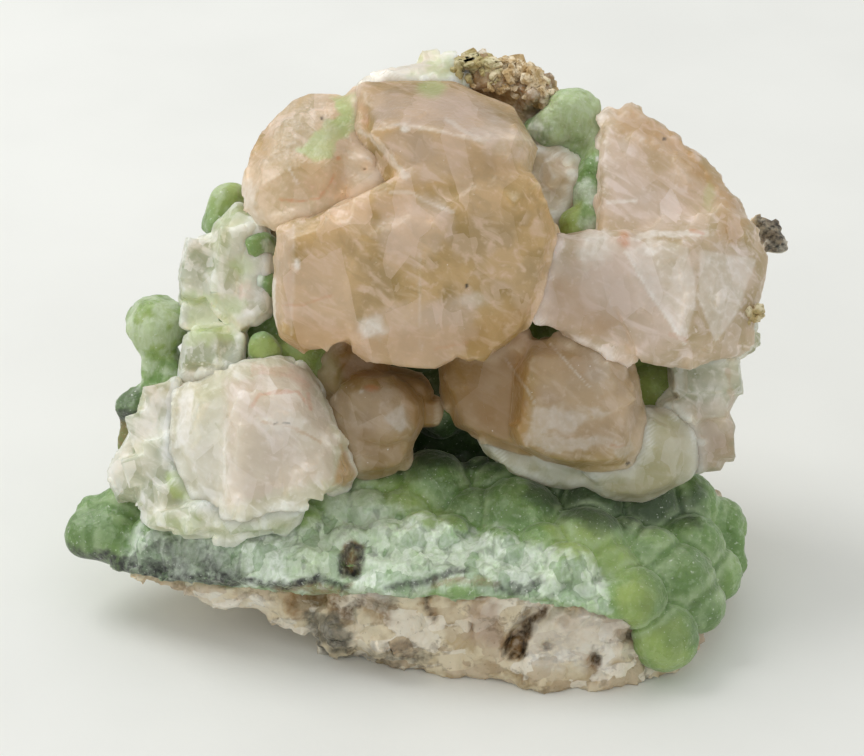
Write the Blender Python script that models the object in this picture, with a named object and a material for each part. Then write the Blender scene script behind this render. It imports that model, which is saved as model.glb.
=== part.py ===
"""A calcite specimen: peach crystals and green prehnite crust on a light, vuggy rock.

Lengths are millimetres in the functions below and become metres in the mesh. Most outlines are
measured as (across, up) on a plane that leans back by VIEW_TILT, the way the specimen is looked
at from the front, with a third number, toward, that grows out of that plane. The function seen
turns them into x, y, z. Places on the flat-lying ledge and rock are given as x, y, z directly.
"""

import math

import bmesh
import bpy
from mathutils import Matrix, Vector, noise

MM = 0.001

# The plane that outlines are measured on, and how far off the eye is that measures them
VIEW_TILT = math.radians(30.0)
VIEW_DISTANCE = 600.0
AIM_ACROSS, AIM_UP, AIM_TOWARD = 1.33, 36.67, 25.0

# Where the origin goes: under the middle of the finished specimen, on the table
ORIGIN_SHIFT = (-0.8, -5.8, 0.0)

# Growth of the solids
GAP = 0.35              # clearance kept between neighbours
ROCK_VOXEL = 1.0        # grain of the rock solid
CRUST_VOXEL = 0.8       # grain of the crust solid
ROCK_FACES = 1700
CRUST_FACES = 2100
KNOB_FACES = 420
ROCK_BUMP, ROCK_PATCH = 1.9, 8.0        # height of the lumps on a surface, and how wide they are
CRUST_BUMP, CRUST_PATCH = 0.9, 6.0
KNOB_BUMP, KNOB_PATCH = 0.6, 5.0
FLAT = math.radians(1.0)    # facets that meet at less than this are one face

# How far a crystal's front ring stands out and its back ring goes in: rise, size, shifts
FRONT = (2.2, 0.92, 0.0, -0.4)
BACK = (-16.0, 0.75, 0.0, 0.0)

CALCITE_PEACH = (0.62, 0.45, 0.31, 1.0)
CALCITE_PALE = (0.72, 0.62, 0.54, 1.0)
PREHNITE_GREEN = (0.19, 0.36, 0.15, 1.0)
ROCK_TAN = (0.50, 0.40, 0.30, 1.0)


def seen(across, up, toward):
    """The x, y, z of a point that shows at (across, up) and stands out by toward."""
    scale = (VIEW_DISTANCE + AIM_TOWARD - toward) / VIEW_DISTANCE
    across = AIM_ACROSS + (across - AIM_ACROSS) * scale
    up = AIM_UP + (up - AIM_UP) * scale
    y = up * math.sin(VIEW_TILT) - toward * math.cos(VIEW_TILT)
    z = up * math.cos(VIEW_TILT) + toward * math.sin(VIEW_TILT)
    return Vector((across, y, z))


def seen_at_height(across, up, height):
    """The point that shows at (across, up) and lies at a given height above the table."""
    toward = 0.0
    for _ in range(6):
        toward += (height - seen(across, up, toward).z) / math.sin(VIEW_TILT)
    return seen(across, up, toward)


def new_object(name, mesh_data):
    """A scene object around a finished bmesh, which is freed."""
    mesh = bpy.data.meshes.new(name)
    mesh_data.to_mesh(mesh)
    mesh_data.free()
    thing = bpy.data.objects.new(name, mesh)
    bpy.context.scene.collection.objects.link(thing)
    return thing


def remove_objects(things):
    for thing in things:
        bpy.data.objects.remove(thing)


def hull(points):
    """The convex solid around a set of points in millimetres."""
    form = bmesh.new()
    for point in points:
        form.verts.new(Vector(point) * MM)
    bmesh.ops.convex_hull(form, input=form.verts)
    loose = [vertex for vertex in form.verts if not vertex.link_faces]
    bmesh.ops.delete(form, geom=loose, context="VERTS")
    bmesh.ops.recalc_face_normals(form, faces=form.faces)
    bmesh.ops.dissolve_limit(form, angle_limit=FLAT, verts=form.verts, edges=form.edges)
    return new_object("form", form)


def ball(centre, radius, squash=1.0):
    """A ball or, with squash, a flattened one, at a point in millimetres."""
    form = bmesh.new()
    bmesh.ops.create_icosphere(form, subdivisions=3, radius=radius * MM)
    shape = Matrix.Translation(Vector(centre) * MM) @ Matrix.Diagonal((1.0, 1.0, squash, 1.0))
    bmesh.ops.transform(form, matrix=shape, verts=form.verts)
    return new_object("form", form)


def apply_modifiers(thing):
    """Replace an object's mesh with what its modifiers make of it."""
    graph = bpy.context.evaluated_depsgraph_get()
    finished = bpy.data.meshes.new_from_object(thing.evaluated_get(graph))
    thing.modifiers.clear()
    thing.data = finished


def boolean(thing, others, operation):
    """Union with, or difference from, a list of other objects in one step."""
    group = bpy.data.collections.new("operands")
    for other in others:
        group.objects.link(other)
    modifier = thing.modifiers.new("boolean", "BOOLEAN")
    modifier.operation = operation
    modifier.solver = "EXACT"
    modifier.use_self = True
    modifier.operand_type = "COLLECTION"
    modifier.collection = group
    apply_modifiers(thing)
    bpy.data.collections.remove(group)


def fuse(forms):
    """One solid from forms that overlap."""
    base, others = forms[0], forms[1:]
    if others:
        boolean(base, others, "UNION")
        remove_objects(others)
    return base


def join_and_remesh(forms, voxel, bump, patch, faces):
    """Melt forms into one rough lump: voxels first, then bumps, then fewer faces."""
    melted = bmesh.new()
    for form in forms:
        melted.from_mesh(form.data)
    remove_objects(forms)
    lump = new_object("lump", melted)
    remesh = lump.modifiers.new("remesh", "REMESH")
    remesh.mode = "VOXEL"
    remesh.voxel_size = voxel * MM
    apply_modifiers(lump)
    roughen(lump, bump, patch)
    decimate = lump.modifiers.new("decimate", "DECIMATE")
    decimate.ratio = min(1.0, faces / (2.0 * len(lump.data.polygons)))
    decimate.use_collapse_triangulate = True
    apply_modifiers(lump)
    return lump


def roughen(thing, height, patch):
    """Move each vertex along its normal by smooth noise, in patches of a given size."""
    mesh = thing.data
    normals = [Vector(vertex.normal) for vertex in mesh.vertices]
    for vertex, normal in zip(mesh.vertices, normals):
        place = vertex.co / (patch * MM)
        swell = noise.fractal(place, 1.0, 2.0, 3, noise_basis="PERLIN_ORIGINAL")
        vertex.co += normal * (height * MM * swell)


def swollen(thing, distance):
    """A copy of a solid with its faces moved out by a distance."""
    form = bmesh.new()
    form.from_mesh(thing.data)
    form.normal_update()
    moves = []
    for vertex in form.verts:
        moves.append(vertex.normal * (distance * MM * min(vertex.calc_shell_factor(), 2.0)))
    for vertex, move in zip(form.verts, moves):
        vertex.co += move
    return new_object("swollen", form)


def fit_behind(thing, clearances):
    """Cut a solid back from the swollen forms of its neighbours."""
    boolean(thing, clearances, "DIFFERENCE")
    keep_largest_body(thing)


def keep_largest_body(thing):
    """Drop the crumbs that a cut leaves."""
    form = bmesh.new()
    form.from_mesh(thing.data)
    unseen = set(form.faces)
    bodies = []
    while unseen:
        body = set()
        edge_of_search = [unseen.pop()]
        while edge_of_search:
            face = edge_of_search.pop()
            body.add(face)
            for edge in face.edges:
                for other in edge.link_faces:
                    if other in unseen:
                        unseen.remove(other)
                        edge_of_search.append(other)
        bodies.append(body)
    bodies.sort(key=lambda body: sum(face.calc_area() for face in body))
    crumbs = [face for body in bodies[:-1] for face in body]
    bmesh.ops.delete(form, geom=crumbs, context="FACES")
    bmesh.ops.triangulate(form, faces=form.faces)
    form.to_mesh(thing.data)
    form.free()


def crystal(outline, toward, lean=(0.0, 0.0), front=FRONT, back=BACK, ridge=()):
    """One crystal individual: a girdle with a smaller ring before it and one behind it.

    The girdle stands out by toward at its middle and leans as it goes across and up. Ridge
    points (across, up, rise) stand out of the girdle and give the front its larger faces.
    """
    middle_across = sum(point[0] for point in outline) / len(outline)
    middle_up = sum(point[1] for point in outline) / len(outline)

    def place(across, up, rise):
        slope = lean[0] * (across - middle_across) + lean[1] * (up - middle_up)
        return seen(across, up, toward + slope + rise)

    points = []
    for rise, size, shift_across, shift_up in ((0.0, 1.0, 0.0, 0.0), front, back):
        for across, up in outline:
            ring_across = middle_across + (across - middle_across) * size + shift_across
            ring_up = middle_up + (up - middle_up) * size + shift_up
            points.append(place(ring_across, ring_up, rise))
    for across, up, rise in ridge:
        points.append(place(across, up, rise))
    return hull(points)


def calcite_centre():
    """The large group in the middle: a cap with a flat top over three blocks with one front."""
    body = crystal(
        [(-22, 61), (-22, 47), (-10, 41), (5, 41), (15, 45), (19, 52), (20, 60), (17, 70), (-2, 72),
         (-8, 66)],
        32.5, (0.0, 0.28), front=(1.5, 0.9, 0, -0.4), back=(-23, 0.75, 0, 0),
    )
    cap = crystal(
        [(-10.5, 85), (-8, 86), (5, 86), (10, 83.5), (15, 82), (17.5, 77), (19, 75), (18, 70.5),
         (4.5, 64.3), (-1.5, 66.3), (-5.5, 68), (-11, 78)],
        28, (0.0, -0.5), front=(3, 0.6, 0, -1), back=(-19, 0.7, 0, 1),
        ridge=[(-7.5, 78.3, 7), (-3, 79, 9.3), (5, 77.5, 9.8), (10, 76.2, 9.5), (16.5, 76, 7),
               (-4, 71, 5.5), (-1.5, 68.5, 4.2), (3, 67, 4.3), (11, 69, 5), (16, 71.5, 4.8)],
    )
    left = crystal(
        [(-24.5, 61.5), (-25.5, 52), (-25.3, 47), (-24.3, 43.5), (-22, 42), (-19, 41.3), (-16, 42),
         (-12, 43.5), (-10, 47), (-9, 57), (-10, 64), (-14, 65), (-22, 62.5)],
        31, (0.12, 0.28), front=(3.2, 0.88, 1.2, -0.8), back=(-18, 0.75, 2, 0),
    )
    lower = crystal(
        [(-13, 43.3), (-11, 41), (-9.5, 39.5), (-4, 38.5), (2, 38.2), (5, 39.7), (8, 44), (8, 52),
         (5, 60), (-2, 64), (-10, 62), (-13.5, 54)],
        32.5, (0.0, 0.28), front=(2, 0.93, 0, -0.5), back=(-17, 0.7, 0, 2),
        ridge=[(-0.5, 45, 2.9), (-0.5, 58, 2.6)],
    )
    right = crystal(
        [(4, 41), (7.5, 39.3), (11, 40.5), (14, 42.3), (17, 45), (19, 50), (19.5, 53), (20.5, 58),
         (22, 62), (20, 66), (18, 71), (9, 71), (2, 66), (1, 52)],
        32, (-0.12, 0.22), front=(2.8, 0.9, -0.8, -0.9), back=(-18, 0.75, 0, 1),
        ridge=[(10, 60, 3.6), (12, 48, 3.4)],
    )
    return [body, cap, left, lower, right]


def calcite_upper_left():
    """The rounded crystal at the upper left, with its lip along the lower edge."""
    dome = crystal(
        [(-30, 65), (-30.3, 70), (-28, 76), (-25, 80), (-22, 83), (-19, 84.2), (-14, 84), (-11, 82),
         (-10.5, 76), (-12, 66), (-18, 63.5), (-24, 62), (-28, 62.3)],
        24, (0.1, -0.35), front=(4, 0.75, 0, -2), back=(-14, 0.75, 2, 0),
        ridge=[(-25, 71, 5.5), (-20, 72.5, 7.5), (-15, 72, 8), (-24, 66, 4.5), (-15, 68, 6)],
    )
    shoulder = crystal(
        [(-16, 83), (-11, 84.5), (-10.5, 78.5), (-7, 74), (-4, 70.2), (-5.5, 68), (-12, 65), (-17, 66)],
        25, (0.0, -0.3), front=(3, 0.84, 0, 0), back=(-12, 0.8, 0, 0),
    )
    lip = crystal(
        [(-30, 66), (-27, 68), (-16, 67), (-13, 65), (-18, 63), (-24, 61.7), (-28, 62)],
        28, (0.1, 0.2), front=(2, 0.85, 0, 0), back=(-9, 0.85, 1, 1),
    )
    return [dome, shoulder, lip]


def calcite_right():
    """The large crystal at the right: a sloping back, a broad front and a faceted corner."""
    shoulder = crystal(
        [(30, 79), (30.5, 81), (34, 82), (36, 81), (40, 77), (45, 74), (48, 70.5), (51.5, 67),
         (54, 63), (50, 58), (40, 55), (33, 57), (29.5, 60), (30, 70)],
        19.5, (-0.15, -0.4), front=(3.5, 0.86, -1, -1.5), back=(-14, 0.75, 0, 0),
    )
    broad = crystal(
        [(17, 50), (18.5, 55), (22, 60), (28, 61), (34, 61.5), (38, 59), (39, 50), (38, 42),
         (35, 39.6), (31, 41), (26, 43.8), (22.5, 45.5), (17.5, 47.2)],
        27.3, (0.02, 0.2), front=(2, 0.93, -0.4, -0.5), back=(-16, 0.75, 2, 2),
        ridge=[(32, 58.5, 2.6)],
    )
    corner = crystal(
        [(31, 60), (40, 62), (50, 65), (54, 63), (57.5, 57), (57, 53), (55, 48.5), (52.5, 43.5),
         (53, 40.3), (47, 39.2), (41, 38.2), (36, 39.2), (33, 46)],
        25, (-0.28, 0.0), front=(1.5, 0.93, -0.5, -0.5), back=(-17, 0.75, 0, 2),
        ridge=[(33, 58, 3), (36.5, 51, 4.2), (42.7, 43, 5), (45.8, 50.2, 5.5), (48.3, 43.5, 4),
               (55, 56, 2.5), (45, 58, 5)],
    )
    return [shoulder, broad, corner]


def calcite_groove():
    """The greyish crystal down in the groove between the centre and the right one."""
    blade = crystal(
        [(18, 74), (19, 77), (24, 76.5), (29, 77), (28.5, 73), (27, 67), (24.5, 62), (22, 59),
         (18, 58), (17, 66)],
        13, (0.0, -0.3), front=(4, 0.7, -1.5, 0), back=(-10, 0.8, 0, 0),
    )
    return [blade]


def calcite_top():
    """The whitish edge that shows above the centre."""
    edge = crystal(
        [(-12, 82), (-10.5, 85.5), (-6, 88), (0, 89.5), (4, 89.7), (7, 87), (7, 81), (-4, 80)],
        14, (0.0, -0.2), front=(2.5, 0.8, 0, 0), back=(-7, 0.8, 2, -1),
    )
    return [edge]


def calcite_egg():
    """The egg under the right crystal: a dark shoulder and a lighter rounded face."""
    shoulder = crystal(
        [(2.3, 39.5), (2.6, 36), (3.2, 34), (5, 31), (5.2, 28.5), (8, 27.4), (13, 25.5), (18, 24),
         (21, 27), (22, 34), (21, 41), (17, 44.5), (11, 45), (5, 43)],
        19.5, (0.3, 0.05), front=(3.2, 0.85, 0.8, -0.6), back=(-12, 0.8, 0, 2),
    )
    face = crystal(
        [(14, 27), (16, 24.8), (20, 22.6), (25, 21.6), (30, 21.7), (34, 22.2), (35.6, 25), (36.5, 30),
         (36.4, 34), (35.7, 37.5), (33.5, 40), (29, 42.3), (24, 43.3), (18, 43), (15, 38)],
        24, (-0.08, 0.05), front=(4.5, 0.8, -0.8, -0.8), back=(-14, 0.8, 0, 2),
        ridge=[(18, 40, 5), (17.5, 31, 6.2), (31, 31.5, 5.5), (24, 24.5, 3.6)],
    )
    return [shoulder, face]


def calcite_pale_lobe():
    """The pale crystal that rests on the ledge under the egg."""
    right = crystal(
        [(27, 19.3), (29.5, 17.3), (32, 16.8), (36.5, 16.5), (41, 17.9), (43.3, 19), (44.6, 21), (44.8, 25),
         (44, 28), (41.5, 30.3), (38, 31.3), (30, 30), (25, 24)],
        17.5, (-0.1, 0.25), front=(4, 0.74, -1, -0.8), back=(-11, 0.8, 0, 2),
    )
    left = crystal(
        [(9, 27.5), (11, 23.3), (15, 23.5), (17, 22), (19.5, 19.6), (22, 19), (25, 18.6), (28, 19.2),
         (32, 26), (24, 31), (12, 31)],
        16, (0.0, 0.1), front=(3, 0.78, 0, -0.6), back=(-10, 0.8, 0, 2),
    )
    return [right, left]


def calcite_right_stack():
    """Three stepped blocks down the right edge."""
    top = crystal(
        [(42, 46), (50, 49), (54, 48.5), (55, 46), (53.5, 44), (53.8, 40.3), (52, 39.3), (44, 37),
         (41, 40)],
        12, (0.0, -0.1), front=(3.5, 0.87, 0, 0), back=(-12, 0.8, -2, 0),
    )
    middle = crystal(
        [(41, 40.5), (52, 39.7), (51.8, 38), (52.7, 36), (52.3, 33.5), (50.8, 30.7), (45, 29.5),
         (41.8, 34.5)],
        15, (0.0, 0.1), front=(3.5, 0.87, -0.7, 0), back=(-13, 0.8, -1, 0),
    )
    foot = crystal(
        [(40, 32.5), (43, 28.5), (45, 28), (45, 22), (46, 20.9), (49.5, 21.2), (50.4, 23), (51, 26),
         (52, 28.5), (51, 31), (46, 34)],
        13.5, (0.0, 0.1), front=(3, 0.87, -0.7, 0), back=(-11, 0.85, -2, 2),
    )
    return [top, middle, foot]


def calcite_small():
    """The small crystal in the hollow with a brown one behind it and two satellites."""
    upper = crystal(
        [(-15, 33), (-14, 35.5), (-11, 37), (-8, 37.3), (-5, 37), (-2.5, 35.5), (0, 32.5), (0, 29),
         (-1.5, 26), (-6, 24.3), (-12, 25.5), (-15, 29)],
        19.5, (0.0, 0.1), front=(3.5, 0.75, 0.5, -0.5), back=(-14, 0.8, 0, 2),
        ridge=[(-5, 29, 5.2)],
    )
    lower = crystal(
        [(-13.8, 29), (-1, 28), (-2, 24), (-2.7, 22), (-5, 21), (-10, 20.3), (-12.5, 21.5)],
        17.5, (0.0, 0.3), front=(3, 0.7, 0, 0), back=(-10, 0.8, 0, 3),
    )
    behind = crystal(
        [(-19, 37), (-16, 42.5), (-10, 43), (-6, 40.5), (-6, 34), (-16, 32)],
        13, (0.0, 0.0), front=(3, 0.6, 0, 0), back=(-10, 0.8, 0, 0),
    )
    satellite_high = crystal(
        [(-6, 37.7), (-2, 37), (0.3, 36), (1.2, 34), (1, 30), (-3, 29), (-6, 33)],
        15, (0.0, 0.0), front=(2, 0.7, 0, 0), back=(-8, 0.85, -1, 1),
    )
    satellite_low = crystal(
        [(-1.5, 32.9), (2.5, 32.7), (2.7, 28.7), (-1.5, 28.3)],
        15, (0.0, 0.0), front=(2, 0.8, 0, 0), back=(-6, 0.9, -1, 1),
    )
    return [upper, lower, behind, satellite_high, satellite_low]


def calcite_white_block():
    """The white blocky crystal at the lower left, two individuals and a small shard."""
    left = crystal(
        [(-42, 25), (-41, 34.5), (-36.5, 36.5), (-31, 38.8), (-31, 14.5), (-36, 13.3),
         (-37.7, 16.5), (-39.3, 20)],
        25.5, (0.15, 0.0), front=(3, 0.86, 1.2, 0), back=(-14, 0.8, 1, 1),
        ridge=[(-34, 27, 4.4)],
    )
    right = crystal(
        [(-33.5, 37.8), (-31, 39.3), (-24, 40), (-19.5, 38), (-17.3, 35), (-15.3, 28.5), (-13.5, 25.5),
         (-13.5, 19.5), (-20, 16), (-30, 13.6), (-33.5, 13.6)],
        27, (-0.1, -0.15), front=(2.2, 0.9, -0.5, -0.9), back=(-15, 0.75, 0, 2),
        ridge=[(-21, 31, 5.8), (-25, 32.5, 6.5), (-31, 33, 5.6), (-31.5, 20, 3.2), (-18, 21, 2.8)],
    )
    shard = crystal(
        [(-16, 27), (-13.7, 26), (-11.6, 20.5), (-12, 19.5), (-16, 18)],
        22, (0.0, 0.0), front=(2, 0.6, 0, 0), back=(-8, 0.8, 0, 1),
    )
    return [left, right, shard]


def calcite_left_lumps():
    """Pale stepped lumps left of the white block, and the flat ledge under it."""
    upper = crystal(
        [(-47, 35), (-42, 36), (-37, 33), (-36, 20), (-38, 13.5), (-44, 13), (-46.5, 13.3),
         (-48, 16), (-48, 26)],
        20.5, (0.15, -0.1), front=(3, 0.84, 0, 0), back=(-12, 0.8, 1, 1),
    )
    outer = crystal(
        [(-47.3, 31), (-50, 26), (-53, 21), (-52.5, 19.5), (-51, 16.5), (-48, 15.8), (-43, 17),
         (-42, 28), (-44, 33)],
        16.5, (0.2, -0.1), front=(3, 0.84, 0, 0), back=(-9, 0.8, 2, 1),
    )
    shelf = crystal(
        [(-46, 12), (-45, 14.5), (-36, 16), (-24, 16.8), (-20.5, 14.5), (-23, 11.2), (-32, 11.5),
         (-40, 10.8)],
        26, (0.1, 0.0), front=(3, 0.85, 0, 0), back=(-8, 0.9, 0, 2),
    )
    return [upper, outer, shelf]


def calcite_left_stack():
    """Small stepped crystals at the left edge, between green crust."""
    top_block = crystal(
        [(-41, 54.5), (-40.3, 57), (-38.5, 59.3), (-35, 60.3), (-33, 57), (-33, 51), (-38, 49),
         (-40.5, 50)],
        12, (0.0, -0.1), front=(3, 0.86, 0, 0), back=(-10, 0.8, 1, 0),
    )
    pane = crystal(
        [(-36, 50), (-36, 58), (-34.5, 62), (-31, 65.5), (-27, 64), (-25.5, 57), (-26, 47), (-31, 44.5)],
        14, (0.15, -0.2), front=(2.5, 0.85, 0, 0), back=(-11, 0.8, 1, 0),
    )
    lower_block = crystal(
        [(-40.3, 43.5), (-41, 39), (-40.5, 36.5), (-36, 35), (-31, 36), (-30, 44), (-35, 45)],
        15.5, (0.0, 0.1), front=(3, 0.86, 0, 0), back=(-12, 0.8, 1, 0),
    )
    link = crystal(
        [(-39, 51), (-31, 50), (-29, 42), (-37, 42)],
        9, (0.0, 0.0), front=(3, 0.7, 0, 0), back=(-8, 0.9, 0, 0),
    )
    return [top_block, pane, lower_block, link]


def prehnite_knobs():
    """The chain of green knobs between the crystals at the top right."""
    knobs = [
        (24.5, 80.5, 15, 4.3), (26.3, 82, 15, 3.2), (21, 78.7, 15, 3.3), (18.5, 78.2, 14, 2.2),
        (28.5, 77, 14, 3.0), (31, 74, 17, 3.3), (28.5, 71, 17, 3.2), (28, 67, 18, 3.2),
        (28, 63.5, 19, 3.4), (25.5, 62, 20, 2.8), (27, 60.5, 19, 2.4), (30.5, 71.5, 16, 2.5),
        (26.5, 74, 11, 4.5), (27, 67, 12, 4.5),
    ]
    forms = [ball(seen(across, up, toward), radius) for across, up, toward, radius in knobs]
    return [join_and_remesh(forms, CRUST_VOXEL, KNOB_BUMP, KNOB_PATCH, KNOB_FACES)]


def prehnite_ledge():
    """The slab of the ledge, from its broken front edge to its drop into the hollow."""
    front_foot = [
        (-60, -5, 12.5), (-55, -10, 11.5), (-49, -14, 12.5), (-40, -18, 13.5), (-30, -22, 16),
        (-17, -25, 17), (0, -27.5, 17.5), (10, -28.5, 19), (20, -30, 18.5), (28, -31, 17),
        (36, -29, 13), (44, -23, 7), (50, -13, 5), (54, -5, 5), (54, 3, 8),
    ]
    front_brow = [
        (-58.5, -4, 15.5), (-48, -10, 18), (-38, -14, 19.5), (-28, -18, 20.5), (-15, -22, 21),
        (0, -24, 21), (12, -26, 21), (22, -28, 20), (32, -27, 18), (42, -20, 14.5),
        (48.5, -10, 12), (50.5, -2, 12), (48, 6, 15),
    ]
    rear = [
        (44, 12, 18), (20, 2, 21), (0, 0, 21), (-15, 4, 21), (-40, 8, 21), (-52, 5, 17.5),
        (50, 14, 12), (30, 16, 14), (0, 12, 14), (-30, 12, 14), (-52, 6, 13),
    ]
    return hull(front_foot + front_brow + rear)


def prehnite_ledge_balls():
    """The round balls on top of the ledge and over its right corner."""
    on_ledge = [
        # across, up, height, radius
        (1, 17, 19.5, 7.5), (-3.5, 13, 19, 5), (15.5, 12.5, 19, 7.3), (12, 17.5, 20, 5),
        (-9.5, 13, 19, 5), (-16, 13.5, 19.5, 5), (-20, 10.5, 19, 4.8), (-26, 10.5, 18.5, 4.5),
        (-32.5, 10, 18.5, 4.5), (4, 9, 19, 4.5), (8.5, 13, 19, 5), (-6, 8.5, 19, 4.3),
        (20, 7.5, 19, 4.6), (27, 8.5, 18, 6.3), (24, 4.3, 19, 4.6), (30.5, 4.5, 16, 4.8),
        (27.5, 14.5, 19, 5.5), (20.5, 17, 20, 4.6), (36, 14.5, 16, 7.2), (43, 15, 15, 6),
        (38, 6.5, 15, 5), (44.5, 8, 13, 5.5), (42, 2.5, 12, 6.3), (35.3, 0, 14, 4.7),
        (40, -6.5, 7, 5.3), (45.3, -1, 9, 4.6), (48.3, 4, 9, 4.4), (49, 12, 11, 4.5),
        (52, 6, 8, 2.3), (51.3, 9, 10, 2.6), (33.5, 9.5, 17, 3.6), (12.5, 7.5, 20, 3.6),
        (-12.5, 8.5, 19.5, 3.4), (-44, 9.5, 16.5, 4.6), (-38.5, 10.5, 17.5, 4),
        (-52, 10.5, 14.5, 4.6), (-56.5, 10.3, 14, 3.9), (-50, 14.5, 17, 4.2),
        (-54.5, 14, 15.5, 3.4), (-9.5, 18.3, 22.5, 2.7), (-5.5, 18, 22, 3), (9.5, 20.5, 22, 2.7),
        (13, 21, 22, 3), (17, 19.5, 21, 3), (6, 19, 21, 3.4), (23, 18.5, 21, 3.2), (31, 16, 18, 4),
        (-0.5, 10.5, 20.5, 3.6), (16, 6, 19.5, 3.4),
    ]
    forms = []
    for across, up, height, radius in on_ledge:
        forms.append(ball(seen_at_height(across, up, height), radius))
    return forms


def prehnite_wall():
    """The crust on the back wall of the hollow and up behind the left crystals."""
    sheet = hull([
        (-38, 8, 16), (46, 8, 14), (-38, 16, 16), (46, 18, 14), (-36, 11, 40), (46, 12, 40),
        (-34, 18, 56), (44, 20, 54), (-36, 20, 40), (46, 22, 40), (0, 24, 62), (0, 18, 62),
    ])
    left_column = hull([
        seen(-38, 44, 4), seen(-32, 44, 12), (-36, 24, 30), seen(-28, 60, 12), seen(-35, 64, 4),
        seen(-31, 69, 3), seen(-26, 66, 8), (-28, 30, 54), (-30, 28, 34), seen(-36, 52, 3),
        seen(-35, 64, -4), seen(-37, 50, -5), seen(-30, 68, -3), (-36, 30, 30),
    ])
    lumps = [
        # across, up, toward, radius
        (-36.5, 46.8, 8, 4.2), (-33, 47, 11, 3.5), (-27.5, 58, 15, 3.6), (-27, 52.5, 16, 3.4),
        (-33.3, 66.5, 8, 3.6), (-34, 63, 8, 3.2), (-31, 68, 7, 2.5), (-27, 41.8, 19, 3.0),
        (-21, 39.5, 12, 5), (-16, 38, 11, 5), (-8, 33, 6, 6), (3, 33, 6, 6), (10, 36, 7, 5),
        (38, 35, 8, 5), (42, 34, 7, 4),
    ]
    forms = [sheet, left_column]
    for across, up, toward, radius in lumps:
        forms.append(ball(seen(across, up, toward), radius))
    return forms


def prehnite_left_ball():
    """The ball on its stalk at the left, and the dark chunk below it."""
    stalk = hull([
        seen(-46.8, 41, 9), seen(-41.2, 41, 9), seen(-47, 35, 8), seen(-40, 34, 12), seen(-43, 36, 1),
        (-46, -2, 20), (-38, 0, 22), (-44, 8, 20), seen(-42, 44, 3), seen(-40, 40, 3),
    ])
    head = ball(seen(-44.6, 45.2, 8), 5.0)
    head_top = ball(seen(-46.3, 47.0, 7), 3.2)
    chunk = ball(seen(-49, 32.3, 8), 2.7)
    neck = hull([
        seen(-50.8, 31, 7), seen(-47.5, 31, 9), seen(-51, 24.5, 6), seen(-46, 24, 10),
        (-50, 6, 18), (-44, 4, 20), seen(-48, 34, 6), seen(-46, 28, 3),
    ])
    return [stalk, head, head_top, chunk, neck]


def prehnite_crust():
    """The green crust as one body."""
    forms = [prehnite_ledge()] + prehnite_ledge_balls() + prehnite_wall() + prehnite_left_ball()
    return join_and_remesh(forms, CRUST_VOXEL, CRUST_BUMP, CRUST_PATCH, CRUST_FACES)


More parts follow.
